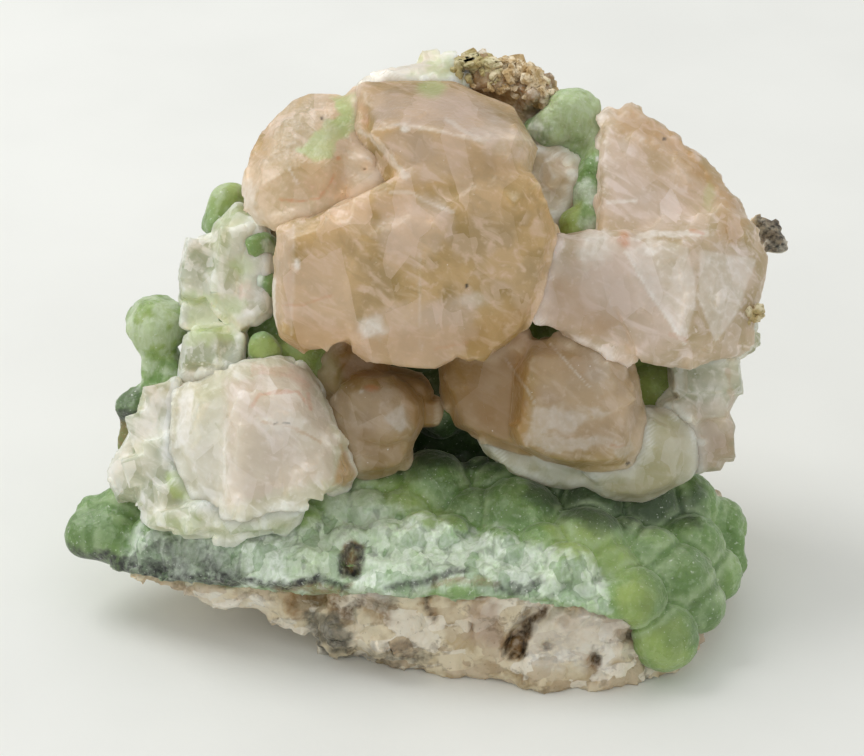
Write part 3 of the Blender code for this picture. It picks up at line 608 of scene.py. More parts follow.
def dress(skin, heights, node):
    """Move a skin by its heights and let it stand for a solid of the frame."""
    skin.move(heights)
    hold_in_box(skin)
    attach(skin.piece, "root")
    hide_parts(node)
    print(f"{skin.piece.name}: {len(skin.piece.data.polygons) * 2} triangles")
    return skin


def crystal_skin(name, node, seed, terraces, blocks, along=(0.3, -0.2, 1.0), turn=(20, 10, 30),
                 voxel=0.4, rounds=1, standing=(), spin=0.0):
    """Melt a crystal with its terraces and blocks, soften it and add the swell of an etched face."""
    draw = np.random.default_rng(seed)
    probe = copy_of_solid(name, node)
    melt(probe, PROBE_VOXEL)
    points, normals = read_points(probe), read_normals(probe)
    bpy.data.objects.remove(probe)
    axes = turned(CLEAVAGE, *turn)
    shells = [lay_terraces(points, normals, *layer, along, draw) for layer in terraces]
    shells += [lay_blocks(points, normals, *layer[:3], axes, draw, *layer[3:]) for layer in blocks]
    if standing:
        shells.append(stand_blocks(points, standing, spin, draw))
    piece = copy_of_solid(name, node, shells)
    melt(piece, voxel)
    smooth(piece, rounds)
    skin = Skin(piece)
    near = nearness(skin, node)
    swell = WAVE_HEIGHT * rough_noise(skin.points, WAVE_WIDTH, 2, seed)
    grain = GRAIN_HEIGHT * rough_noise(skin.points, GRAIN_WIDTH, 2, seed + 50)
    skin.store("near", near)
    return dress(skin, CLOSING * near + swell + grain, node)

# %% The large crystals
# A layer is a count, half widths and a rise in mm, and for some blocks the outline that they keep to
RAGGED_EDGE = [(29, 80), (33, 84), (45, 77), (58, 65), (56, 57), (51, 61), (50, 66), (42, 73), (34, 77)]
centre = crystal_skin(
    "centre_crystal", "calcite_centre", 1,
    terraces=[(60, (3.0, 7.0), (0.03, 0.25)), (60, (0.8, 2.2), (0.02, 0.12))],
    blocks=[(40, (0.7, 1.5), (0.05, 0.2), [(-27, 64), (-20, 63), (-20, 40), (-8, 39), (0, 36), (18, 38),
        (25, 60), (20, 64), (17, 48), (8, 36), (-5, 34), (-26, 36)])],
    voxel=0.43)
right = crystal_skin(
    "right_crystal", "calcite_right", 2,
    terraces=[(50, (2.5, 6.0), (0.05, 0.4)), (60, (0.7, 2.0), (0.03, 0.25))],
    blocks=[(190, (0.5, 1.3), (0.4, 1.1), RAGGED_EDGE), (60, (1.0, 2.5), (0.1, 0.4))],
    along=(0.45, -0.4, 0.8), turn=(10, 35, 20), voxel=0.4)
upper_left = crystal_skin(
    "upper_left_crystal", "calcite_upper_left", 3,
    terraces=[(25, (2.0, 5.0), (0.03, 0.2))],
    blocks=[(40, (0.8, 2.0), (0.05, 0.25))],
    rounds=2)
egg = crystal_skin(
    "egg_crystal", "calcite_egg", 4,
    terraces=[(24, (2.0, 5.0), (0.03, 0.25)), (20, (0.6, 1.5), (0.02, 0.15))],
    blocks=[(40, (0.8, 2.2), (0.05, 0.3))],
    along=(0.6, -0.3, -0.7), turn=(40, 10, 50))
pale_lobe = crystal_skin(
    "pale_lobe_crystal", "calcite_pale_lobe", 5,
    terraces=[(10, (2.0, 4.0), (0.02, 0.12))],
    blocks=[(20, (0.6, 1.5), (0.02, 0.15))],
    voxel=0.44, rounds=2)
white_block = crystal_skin(
    "white_block_crystal", "calcite_white_block", 6,
    terraces=[(30, (2.0, 5.0), (0.08, 0.45))],
    blocks=[(120, (0.8, 2.6), (0.1, 0.5)), (60, (0.5, 1.4), (0.1, 0.4))],
    along=(0.15, -0.3, 1.0), turn=(15, 10, 40), voxel=0.36)

# %% The small crystals
# A standing block is across, up, half width, half height and how far it stands out
left_lumps = crystal_skin(
    "left_lump_crystals", "calcite_left_lumps", 7,
    terraces=[(20, (1.5, 3.5), (0.1, 0.4))],
    blocks=[(50, (0.8, 1.6), (0.1, 0.5)), (50, (0.5, 1.0), (0.1, 0.4))],
    standing=[(-43.5, 33, 2.6, 2.6, 0.6), (-46.5, 28, 2.2, 3.0, 0.6), (-44, 24, 2.2, 2.6, 0.6),
        (-47.5, 21.5, 2.2, 2.4, 0.6), (-41.8, 17.5, 2.6, 2.0, 0.5), (-36, 13.5, 3.0, 1.5, 0.5),
        (-29.5, 12.5, 3.0, 1.5, 0.5), (-24.8, 14, 2.2, 1.6, 0.5)],
    along=(0.5, -0.3, 0.9), turn=(35, 20, 10), voxel=0.33, rounds=0, spin=14.0)
left_stack = crystal_skin(
    "left_stack_crystals", "calcite_left_stack", 8,
    terraces=[(20, (1.5, 3.5), (0.1, 0.4))],
    blocks=[(30, (0.8, 1.6), (0.1, 0.4)), (40, (0.5, 1.0), (0.1, 0.3))],
    standing=[(-37.3, 56, 2.9, 3.4, 0.7), (-32.5, 57, 2.0, 4.4, 0.6), (-36, 47.5, 3.2, 2.6, 0.6),
        (-36.5, 41.3, 2.6, 2.6, 0.6), (-33.3, 52, 2.2, 2.0, 0.6)],
    along=(0.1, -0.2, 1.0), turn=(5, 15, 35), voxel=0.33, rounds=0, spin=-6.0)
right_stack = crystal_skin(
    "right_stack_crystals", "calcite_right_stack", 9,
    terraces=[(20, (1.2, 3.0), (0.1, 0.4))],
    blocks=[(40, (0.8, 1.4), (0.1, 0.5)), (50, (0.4, 0.9), (0.1, 0.4))],
    standing=[(46.5, 37, 3.0, 2.8, 0.5), (51, 36.5, 1.8, 2.6, 0.5), (47.5, 31.5, 2.6, 2.0, 0.5),
        (49.3, 26, 2.2, 3.0, 0.5), (52.5, 43, 1.8, 2.2, 0.4), (48, 43, 2.4, 2.2, 0.4)],
    along=(0.3, -0.2, 1.0), turn=(25, 5, 15), voxel=0.33, rounds=0, spin=4.0)
small = crystal_skin(
    "small_crystal", "calcite_small", 10,
    terraces=[(14, (1.5, 3.5), (0.03, 0.2))],
    blocks=[(30, (0.7, 1.8), (0.05, 0.3))])
groove = crystal_skin(
    "groove_crystal", "calcite_groove", 11,
    terraces=[(12, (1.5, 3.5), (0.05, 0.3))],
    blocks=[(30, (0.7, 1.8), (0.1, 0.4))])
top = crystal_skin(
    "top_crystal", "calcite_top", 12,
    terraces=[(14, (1.5, 3.5), (0.05, 0.4))],
    blocks=[(8, (1.0, 2.0), (0.1, 0.3))],
    voxel=0.36)

# %% A valley and two worn places
def tube(skin, centre, size):
    """From 0 to 1: inside an oval along the line of sight, whichever way the points face."""
    reach = np.hypot((skin.across - centre[0]) / size[0], (skin.up - centre[1]) / size[1])
    return 1.0 - smooth_step(0.8, 1.2, reach)


valley = upper_left.patch([(-13, 75), (-8, 75), (-2, 69), (1, 66), (-6, 64), (-13, 65)], 1.0, 2.0)
upper_left.move_to_eye(3.0 * valley)
seam = upper_left.patch([(-15, 76), (-8, 77), (0, 70), (3, 65), (-6, 61), (-15, 63)], 1.0, 1.0)
upper_left.calm(seam, 60)
centre.move_to_eye(1.6 * centre.spot((1.5, 64), (4.5, 2.5), 1.0, 0.7, 0.2))
centre.calm(centre.spot((1.5, 64), (6.0, 4.0), 1.0, 0.6, 0.2), 40)
centre.calm(tube(centre, (12.5, 37.5), (4.0, 3.0)), 30)
print("the valley fills", int((valley > 0.5).sum()), "points")

# %% [markdown]
# ## The prehnite crust
#
# Prehnite grows as fans of fine needles that end in a round surface, so the crust is made of balls
# that touch in creases. Their places are given one by one on the ledge, where each can be counted,
# and the melt joins them. Small domes on the balls and a fine grain follow as heights. Along the
# front the crust is broken: there the balls are cut off and the needles show as upright ridges.

# %% Heights of domes and chips
def domes(points, size, seed):
    """Heights from 0 to 1 of small domes: 1 at a cell's centre and falling off as a circle does."""
    _, _, offset = cells(points, size, seed)
    return np.sqrt(np.clip(1.0 - (np.linalg.norm(offset, axis=1) / 0.75) ** 2, 0.0, 1.0))


def chips(points, size, seed, stretch=(1.0, 1.0, 1.0)):
    """Heights from about -1 to 1 of tilted chips: each cell has a level and a slope of its own."""
    _, random, offset = cells(points / np.asarray(stretch), size, seed, jitter=0.9)
    return (2.0 * random[:, 0] - 1.0) * 0.5 + ((2.0 * random - 1.0) * offset).sum(axis=1)

# %% The balls on the ledge
LEDGE_BALLS = np.array([
    # across, up, height, radius in mm
    (1, 17, 19.5, 7.5), (-3.5, 13, 19, 5), (15.5, 12.5, 19, 7.3), (12, 17.5, 20, 5),
    (-9.5, 13, 19, 5), (-16, 13.5, 19.5, 5), (-20, 10.5, 19, 4.8), (-26, 10.5, 18.5, 4.5),
    (-32.5, 10, 18.5, 4.5), (4, 9, 19, 4.5), (8.5, 13, 19, 5), (-6, 8.5, 19, 4.3),
    (20, 7.5, 19, 4.6), (27, 8.5, 18, 6.3), (24, 4.3, 19, 4.6), (30.5, 4.5, 16, 4.8),
    (27.5, 14.5, 19, 5.5), (20.5, 17, 20, 4.6), (36, 14.5, 16, 7.2), (43, 15, 15, 6),
    (38, 6.5, 15, 5), (44.5, 8, 13, 5.5), (42, 2.5, 12, 6.3), (35.3, 0, 14, 4.7),
    (40, -6.5, 7, 5.3), (45.3, -1, 9, 4.6), (48.3, 4, 9, 4.4), (49, 12, 11, 4.5),
    (33.5, 9.5, 17, 3.6), (12.5, 7.5, 20, 3.6), (-12.5, 8.5, 19.5, 3.4), (-44, 9.5, 16.5, 4.6),
    (-38.5, 10.5, 17.5, 4), (-52, 10.5, 14.5, 4.6), (-56.5, 10.3, 14, 3.9), (-50, 14.5, 17, 4.2),
    (-9.5, 18.3, 22.5, 2.7), (-5.5, 18, 22, 3), (9.5, 20.5, 22, 2.7), (13, 21, 22, 3),
    (17, 19.5, 21, 3), (6, 19, 21, 3.4), (23, 18.5, 21, 3.2), (31, 16, 18, 4), (-0.5, 10.5, 20.5, 3.6),
], float)
BALL_SWELL = 0.35                       # mm that a ball stands out of the frame's crust
CRUST_VOXEL, KNOB_VOXEL, ROCK_VOXEL = 0.56, 0.36, 0.68
BROKEN_FRONT = [(-50, 8), (-46, 12), (-36, 12.5), (-22, 12), (-14, 14), (-8, 15.5), (-2, 13), (4, 11),
                (10, 11.5), (15, 9.5), (20, 8), (27, 7), (31, 4), (30, -2), (16, 0), (5, 3), (-1, -1),
                (-17, 1), (-31, 1.5), (-50, 3.5)]

# %% The skins of the crust and the knobs
def crust_skin():
    """The crust: the frame's solid with its balls again, domes on top and needles in front."""
    draw = np.random.default_rng(31)
    across, up, height, radius = LEDGE_BALLS.T
    shells = balls(placed_at_height(across, up, height), radius + BALL_SWELL, draw)
    piece = copy_of_solid("prehnite_crust_skin", "prehnite_crust", [shells])
    melt(piece, CRUST_VOXEL)
    smooth(piece, 1)
    skin = Skin(piece)
    broken = skin.patch(BROKEN_FRONT, soft=0.8, ragged=1.5)
    round_part = 1.0 - broken
    # Sizes and heights are in mm, and the last whole number of each call is its seed
    heights = round_part * 0.30 * domes(skin.points, 2.6, 32)
    heights += round_part * 0.12 * domes(skin.points, 1.2, 33)
    heights += broken * (0.7 * chips(skin.points, 4.0, 34) + 0.35 * chips(skin.points, 1.8, 39))
    heights -= 2.6 * skin.spot((-12, 6), (1.7, 2.5), 1.0, 0.3, 0.3)
    heights += broken * 0.22 * rough_noise(skin.points, 1.6, 3, 35, stretch=(1.0, 1.0, 3.5))
    heights += 0.10 * rough_noise(skin.points, 1.5, 3, 36)
    behind, nearest = between_balls(skin.points)
    on_ball = round_part * (1.0 - smooth_step(0.8, 1.6, nearest))
    shaded_crease = on_ball * (1.0 - smooth_step(0.0, 0.8, behind + 0.5 * skin.ragged))
    past = 1.0 - smooth_step(1.0, 2.4, behind + 0.6 * skin.ragged)
    # The crease mark is painted shade in the creases between the balls, and the shoulder mark is painted
    # light on the balls just past them.
    skin.store("broken", broken)
    skin.store("shaded_crease", shaded_crease)
    skin.store("lit_shoulder", on_ball * smooth_step(0.4, 1.0, behind) * past)
    return dress(skin, heights - 0.22 * shaded_crease, "prehnite_crust")


def between_balls(points):
    """For each point how much farther the second nearest ball is than the nearest, in mm, and how
    far the nearest is."""
    across, up, height, radius = LEDGE_BALLS.T
    centres = placed_at_height(across, up, height)
    gaps = np.linalg.norm(points[:, None, :] - centres[None], axis=2) / MM - radius
    gaps.sort(axis=1)
    return gaps[:, 1] - gaps[:, 0], gaps[:, 0]


def knob_skin():
    """The chain of knobs between the crystals at the top right, smoother and rounder than the crust."""
    piece = copy_of_solid("prehnite_knob_skin", "prehnite_knobs")
    melt(piece, KNOB_VOXEL)
    smooth(piece, 4)
    skin = Skin(piece)
    heights = 0.25 * domes(skin.points, 3.0, 37) + 0.12 * rough_noise(skin.points, 2.0, 3, 38)
    return dress(skin, heights, "prehnite_knobs")


crust = crust_skin()
knobs = knob_skin()
CALMED = [((-33.5, 70), (6, 7), 50), ((-28, 54), (5, 13), 25), ((-58, 9.5), (7, 5), 60)]
for place, size, rounds in CALMED:
    crust.calm(tube(crust, place, size), rounds)

# %% [markdown]
# ## The rock
#
# The rock under the crust is a coarse, sugary carbonate. Its broken front is a heap of glassy
# facets a few millimetres wide with holes between them, so tilted chips of two sizes are added to
# ordinary noise. The rusty part on top is loose stuff: several hundred grains, each a small blunt
# ball of a few dozen faces, laid over each other.

# %% The skin of the rock
def rock_skin():
    """The rock: chips of two sizes, ordinary noise, small pits, and the four holes that show."""
    piece = copy_of_solid("rock_skin", "matrix_rock")
    melt(piece, ROCK_VOXEL)
    smooth(piece, 1)
    skin = Skin(piece)
    heights = 0.65 * chips(skin.points, 4.5, 41) + 0.4 * chips(skin.points, 2.0, 42)
    heights += 0.30 * rough_noise(skin.points, 3.0, 4, 43)
    pits = smooth_step(0.62, 0.95, rough_noise(skin.points, 4.0, 3, 44))
    holes = 3.0 * skin.stroke([(19.4, -2.2), (17.2, -4.4), (15.6, -6.6), (14.8, -8.8)], 1.5, 1.0, 0.5)
    holes += 1.6 * skin.spot((34.8, -6.4), (2.2, 1.2), 1.0, 0.3, 0.4)
    holes += 1.4 * skin.spot((28.6, -10.2), (1.0, 1.5), 1.0, 0.3, 0.4)
    holes += 1.2 * skin.spot((20.5, -8), (1.4, 0.7), 1.0, 0.3, 0.4)
    return dress(skin, heights - 0.8 * pits - holes, "matrix_rock")

# %% Loose grains
def grains(name, outline, toward, count, size, seed):
    """Loose grains inside an outline, each within the given band of toward."""
    draw = np.random.default_rng(seed)
    low, high = np.min(outline, axis=0), np.max(outline, axis=0)
    across, up = draw.uniform(low, high, (count * 4, 2)).T
    inside = depth_inside(across, up, outline) > 0.3
    across, up = across[inside][:count], up[inside][:count]
    centres = placed(across, up, draw.uniform(*toward, len(across)))
    wide = draw.uniform(*size, len(across))
    sizes = wide[:, None] * draw.uniform(0.3, 1.0, (len(across), 3))
    points, faces = copies(unit_ball(5, 7, 0.5), centres, sizes, random_frames(len(across), draw))
    points += MM * 0.22 * np.stack([rough_noise(points, 0.8, 1, seed + n) for n in range(3)], axis=1)
    piece = link_piece(name, new_mesh(name, np.clip(points, CAD_LOW, CAD_HIGH), faces))
    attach(piece, "root")
    print(f"{name}: {len(across)} grains")
    return Skin(piece)


RUBBLE = [(3.5, 87), (5, 90.5), (9, 91), (12, 90), (15, 90), (19, 88), (22.3, 84.5), (20, 82),
          (16, 83.5), (12, 84.5), (8, 85)]
rock = rock_skin()
rubble = grains("rubble_grains", RUBBLE, (11, 16.5), 440, (0.45, 1.35), 45)
rubble_bed = grains("rubble_bed", RUBBLE, (8, 12), 90, (1.2, 2.2), 46)
beside = right.toward[np.hypot(right.across - 54.0, right.up - 47.0) < 1.2]
CHIP = [(53.4, 45.6), (55.5, 46), (57.2, 47.6), (56.4, 48.6), (53.6, 48.4)]
chip = grains("yellow_chip", CHIP, (beside.max() - 2.2, beside.max() - 0.8), 26, (0.5, 1.1), 47)

# %% [markdown]
# ## Stains and veils
#
# Most marks have a reason in the stone: rust is iron that water carried into cracks, green is
# prehnite under or inside the calcite, white is a cracked or powdery place that scatters light,
# and amber is thick, clear calcite that looks darker. A few white marks are painted glints and
# facets that face the light. Two marks are painted light and shade outright: shade is painted
# shade, and the edge light is painted light on thin edges, where light comes through. The numbers
# below are places on the leaning plane in mm.

# %% Marks on the crystals
spot, stroke, patch = Skin.spot, Skin.stroke, Skin.patch


def rims(skin, low, high):
    """High where the surface stands out of its neighbours, along edges and corners."""
    return smooth_step(low, high, edge_sharpness(skin.piece))


def mark(skin, names, marks):
    """Store every named mark on a skin: a mark is a list of layers, each a shape and its numbers.

    A name without layers is stored as 0 everywhere, because the material reads it on every piece.
    """
    for name in names:
        skin.store(name, *(shape(skin, *numbers) for shape, *numbers in marks.get(name, ())))
    print(skin.piece.name, "has", ", ".join(marks))


IN_CALCITE = ("white", "pink", "rust", "amber", "green", "shade", "dark")
mark(centre, IN_CALCITE, {
    "white": [
        (stroke, [(-10.7, 77.8), (-7.9, 76.4), (-5.2, 72.7), (-3.2, 70.3)], 0.5, 0.55, 0.8),
        (stroke, [(3.6, 79.8), (6.5, 78), (9.4, 76.4)], 0.4, 0.5, 1.0),
        (stroke, [(-7.9, 78.1), (-3.8, 79), (2.3, 77.9), (9.4, 76.2), (13.5, 76.8), (18.6, 76.2)],
            0.3, 0.4, 0.6),
        (spot, (-3.2, 78.2), (0.8, 0.6), 0.9),
        (spot, (-8.6, 45.1), (2.2, 1.6), 0.8, 0.6, 0.5),
        (spot, (8, 49.5), (2.5, 1.2), 0.4, 0.6, 0.6),
        (spot, (-21.2, 55.5), (0.5, 1.0), 0.9),
        # A painted glint: a band of white down the left edge.
        (stroke, [(-25, 53), (-25.3, 50), (-24.8, 44)], 0.45, 0.9, 0.8),
        (stroke, [(-0.6, 57.3), (-0.7, 50), (-0.5, 41.3)], 0.2, 0.2, 0.8),
        (stroke, [(-21.8, 62), (-21.8, 52), (-22.2, 44)], 0.22, 0.2, 0.8),
        (stroke, [(-5.6, 67.7), (-1.8, 67.5), (0, 66.3), (4.7, 64.3)], 0.3, 0.35, 0.8),
        (patch, [(8, 78), (10, 75), (18, 71.5), (19, 76), (12, 80)], 0.3, 1.5)],
    "pink": [
        (patch, [(-9, 84), (8, 84), (17, 77), (9, 76), (-3, 78.5), (-8, 78)], 0.7, 1.0),
        (patch, [(-8, 77.5), (0, 78.5), (8, 76), (5, 70), (-3, 69)], 0.55, 1.5),
        (patch, [(-8, 68), (4, 66), (5, 60), (-2, 56), (-8, 60)], 0.6, 1.5, 1.5),
        (patch, [(-12, 44), (-8, 48), (-4, 49), (2, 49), (8, 51), (9, 44), (5, 39), (-9, 39)],
            0.55, 1.0, 1.0),
        (patch, [(-25, 61), (-21.7, 62), (-22, 45), (-25, 46)], 0.6, 0.4)],
    "rust": [
        (stroke, [(-23.6, 48.8), (-20, 48.9), (-17, 50), (-15.4, 50.4)], 0.22, 0.35, 0.8),
        (stroke, [(-10.3, 82), (-9.6, 80), (-9.8, 78.3)], 0.6, 0.35, 0.8),
        (stroke, [(2, 41.5), (7, 42.5)], 0.25, 0.25, 0.8)],
    "amber": [
        (patch, [(-25, 45), (-14, 45), (-11, 41), (-24, 40)], 0.5, 1.5, 1.0),
        (patch, [(3, 44), (18, 50), (18, 42), (8, 38)], 0.45, 2.0, 1.0),
        (patch, [(-22, 47), (-8, 45), (8, 45), (10, 37), (-6, 34), (-24, 39)], 0.4, 1.5, 1.0)],
    "green": [(spot, (1.2, 85), (2.2, 1.6), 0.8)],
    "shade": [
        (patch, [(-12, 86), (10, 86), (20, 78), (9, 76.5), (-3, 79.5), (-9, 78.5)], 0.5, 1.0, 0.6),
        (patch, [(-8, 77.5), (0, 78.5), (17, 76), (14, 68), (-3, 69)], 0.3, 1.0, 0.8)],
    "dark": [(spot, (7.1, 52.1), (0.35, 0.35), 1.0, 0.3, 0.1)],
})
mark(upper_left, IN_CALCITE, {
    "green": [(patch, [(-10.5, 84.5), (-11.6, 82), (-10.5, 78.7), (-14.4, 76), (-15.5, 73.4),
        (-18.2, 73), (-20.8, 74.6), (-18.2, 77.6), (-16.7, 79.1), (-14, 80.6), (-15.5, 83.2)],
        0.95, 0.35, 0.7)],
    "rust": [
        (stroke, [(-24, 66.4), (-20, 66.2), (-17.5, 66.6), (-16, 68.5), (-15, 70.5)], 0.22, 0.7, 0.6),
        (spot, (-16.5, 68.6), (4.0, 2.4), 0.3, 0.9, 0.5),
        (spot, (-14.3, 73.3), (0.4, 0.4), 0.8, 0.3, 0.1)],
    "amber": [(patch, [(-29, 72), (-16, 72), (-6, 71), (-12, 65), (-27, 64)], 0.25, 2.5, 1.5)],
    "pink": [(patch, [(-16, 78), (-9, 78), (-5, 70), (-14, 69)], 0.5, 1.5)],
    "white": [
        (patch, [(-26, 84), (-16, 84), (-15.5, 75), (-26, 73)], 0.3, 2.0, 1.5),
        (stroke, [(-29.5, 69), (-29, 64.5), (-27.5, 62.2)], 1.2, 0.5, 0.8),
        (stroke, [(-22.5, 71.5), (-21, 69)], 0.2, 0.4, 1.0),
        (stroke, [(-9.5, 73.5), (-7.5, 71.5)], 0.25, 0.5, 1.0)],
    "shade": [(patch, [(-17, 80), (-8, 80), (-7, 70), (-15, 68)], 0.35, 2.0, 1.0)],
    "dark": [(spot, (-17, 80), (0.3, 0.3), 0.8, 0.3, 0.1)],
})

# %% Marks on the right crystal and the egg
mark(right, IN_CALCITE, {
    "white": [
        # The two kite patches are partly painted light: white laid on the facets that face the light, over
        # white in the stone.
        (patch, [(33.6, 57.7), (38, 60), (44, 58.5), (45.6, 50.6), (43.4, 42.5), (38, 50)],
            0.45, 0.25, 0.2),
        (patch, [(46, 58), (55.5, 56.5), (52, 47), (48.5, 42.5), (45.8, 50.2)], 0.55, 0.25, 0.15),
        (stroke, [(33.6, 57.7), (38, 50.5), (43.4, 42.5)], 0.3, 0.8, 0.5),
        (stroke, [(45.6, 50.6), (48.7, 43.2)], 0.25, 0.6, 0.4),
        (spot, (28.5, 58.5), (2.8, 3.0), 0.85, 0.5, 0.5),
        (stroke, [(30.6, 66), (35.3, 66.2)], 0.35, 0.7, 0.5),
        (stroke, [(34, 59.7), (38.5, 61), (41.5, 60.5), (47, 60.8)], 0.5, 0.6, 1.0),
        (spot, (37.6, 57.5), (1.2, 1.4), 0.9, 0.5, 0.8)],
    "pink": [
        (patch, [(31, 78), (36, 70), (44, 66), (46, 62), (36, 61), (30.5, 63)], 0.6, 2.0, 1.5),
        (patch, [(20, 55), (33, 57), (42, 43), (36, 40), (20, 47)], 0.65, 2.0, 1.5)],
    "rust": [
        (spot, (33.3, 59.8), (1.0, 1.2), 0.75, 0.5, 0.3),
        (stroke, [(44.5, 61.3), (46.5, 60.8)], 0.3, 0.6, 0.8),
        (stroke, [(41, 44), (43.5, 43)], 0.3, 0.4, 0.8)],
    "amber": [
        (patch, [(31, 82.5), (42, 78), (55, 64), (51, 64), (43, 72), (36, 77), (33, 77)],
            0.75, 1.5, 1.0),
        (patch, [(33, 77), (43, 77), (50, 68), (44, 66), (35, 70)], 0.35, 2.0, 1.0),
        (patch, [(49.5, 66), (54, 63), (52, 58.5), (48.5, 60)], 0.5, 0.8, 0.8),
        (patch, [(18, 56), (26, 52), (32, 46), (28, 42), (18, 46)], 0.5, 2.0)],
    "green": [(spot, (47.6, 67), (0.8, 2.0), 0.5, 0.6, 0.5)],
    "shade": [(patch, [(20, 62), (36, 61), (40, 50), (34, 44), (20, 48)], 0.25, 1.5, 1.0)],
    "dark": [(spot, (40, 76.5), (0.3, 0.3), 0.7, 0.3, 0.1)],
})
mark(egg, IN_CALCITE, {
    "amber": [
        (patch, [(2, 45), (16, 45), (18, 34), (18, 22), (2, 24)], 0.9, 2.0, 1.0),
        (patch, [(16, 43), (35, 43), (30, 38), (18, 36)], 0.35, 1.5, 1.0)],
    "pink": [(patch, [(18, 42), (35, 40), (36, 26), (20, 24)], 0.5, 2.0, 1.0)],
    "white": [
        (patch, [(18, 32.3), (31, 31), (24, 28), (17, 26)], 0.6, 0.8, 1.2),
        (stroke, [(17.5, 26.5), (24, 25.5), (31, 26.5)], 1.0, 0.5, 1.2),
        (stroke, [(21, 42.4), (24.5, 38.5), (27.9, 34.8)], 0.18, 0.55, 0.3),
        (stroke, [(13.5, 40), (17, 35), (18.5, 32.5)], 0.18, 0.4, 0.3),
        (spot, (33.5, 24.5), (1.5, 1.5), 0.5, 0.5, 0.8),
        (spot, (29, 38), (2.2, 3.5), 0.3, 0.6, 0.4)],
    "rust": [(stroke, [(31.2, 25.6), (32.4, 25.1), (33.6, 25.5)], 0.2, 0.6, 0.5)],
    "shade": [
        (patch, [(0, 46), (38, 46), (38, 20), (0, 20)], 0.55, 1.0),
        (patch, [(1, 44), (15, 43), (18, 34), (15, 24), (1, 26)], 0.75, 2.0, 1.0)],
    "dark": [(spot, (34, 22.5), (0.5, 0.3), 0.9, 0.4, 0.4)],
})

# %% Marks on the white block and the small crystal
mark(white_block, IN_CALCITE, {
    "white": [
        (patch, [(-41.6, 25), (-40.4, 34.5), (-38.2, 35), (-39.2, 26)], 1.0, 0.3, 0.3),
        (patch, [(-38, 33), (-33, 33), (-33, 14), (-38, 18)], 0.55, 1.0, 1.0),
        (stroke, [(-33.3, 28), (-33.3, 19)], 0.3, 0.8, 0.5),
        (stroke, [(-28, 30), (-24, 28.8), (-19, 29.5)], 0.8, 0.5, 1.0),
        (spot, (-35.5, 20), (0.4, 1.6), 0.9, 0.5, 1.0)],
    "pink": [(patch, [(-33.3, 36), (-20, 39), (-14.5, 26), (-15.5, 20), (-33.3, 15)], 0.75, 1.0, 1.0)],
    "rust": [
        (stroke, [(-28.7, 32), (-27.5, 33.8), (-24, 34.4), (-21, 34.4), (-19.6, 32.5)], 0.3, 0.5, 0.8),
        (stroke, [(-28, 38.2), (-23, 37.8), (-19.5, 35.5)], 0.9, 0.35, 0.8),
        (stroke, [(-19.3, 34), (-18.8, 31.5)], 0.4, 0.5, 0.8)],
    "amber": [
        (patch, [(-13.8, 25.5), (-11, 21), (-11, 18), (-15, 19)], 0.9, 0.5, 0.3),
        (stroke, [(-27, 29.4), (-22, 28.5), (-19, 27), (-17.3, 26)], 0.2, 0.7, 0.8)],
    "green": [(patch, [(-38, 36), (-33.5, 37), (-33.5, 26), (-38, 26)], 0.22, 1.5, 1.0)],
    "dark": [(stroke, [(-25, 29), (-24, 29.3), (-22.5, 29.1)], 0.16, 0.5, 0.8)],
})
mark(small, IN_CALCITE, {
    "amber": [
        (patch, [(-20, 44), (-5, 44), (-5, 37), (-14, 36), (-20, 33)], 0.9, 1.5, 1.0),
        (patch, [(-6, 38), (4, 38), (4, 27), (-1, 27)], 0.7, 0.6, 0.5),
        (patch, [(-14, 28), (0, 28), (-3, 20), (-13, 20)], 0.4, 1.5, 0.8)],
    "pink": [(spot, (-7, 31), (5, 4.5), 0.5, 0.8, 0.5)],
    "white": [
        (patch, [(-7.1, 30), (-3.5, 32.3), (-2.9, 28.5), (-4, 27.5)], 0.6, 0.3, 0.3),
        (spot, (-10.5, 34.5), (0.4, 0.3), 0.7)],
    "rust": [(spot, (-8.5, 35), (1.2, 0.6), 0.85, 0.5, 0.5)],
    "green": [(patch, [(-20, 42), (-15, 42), (-14, 36), (-18, 33)], 0.6, 1.5, 1.0)],
    "shade": [(patch, [(-22, 46), (6, 46), (6, 18), (-22, 18)], 0.6, 1.0)],
})

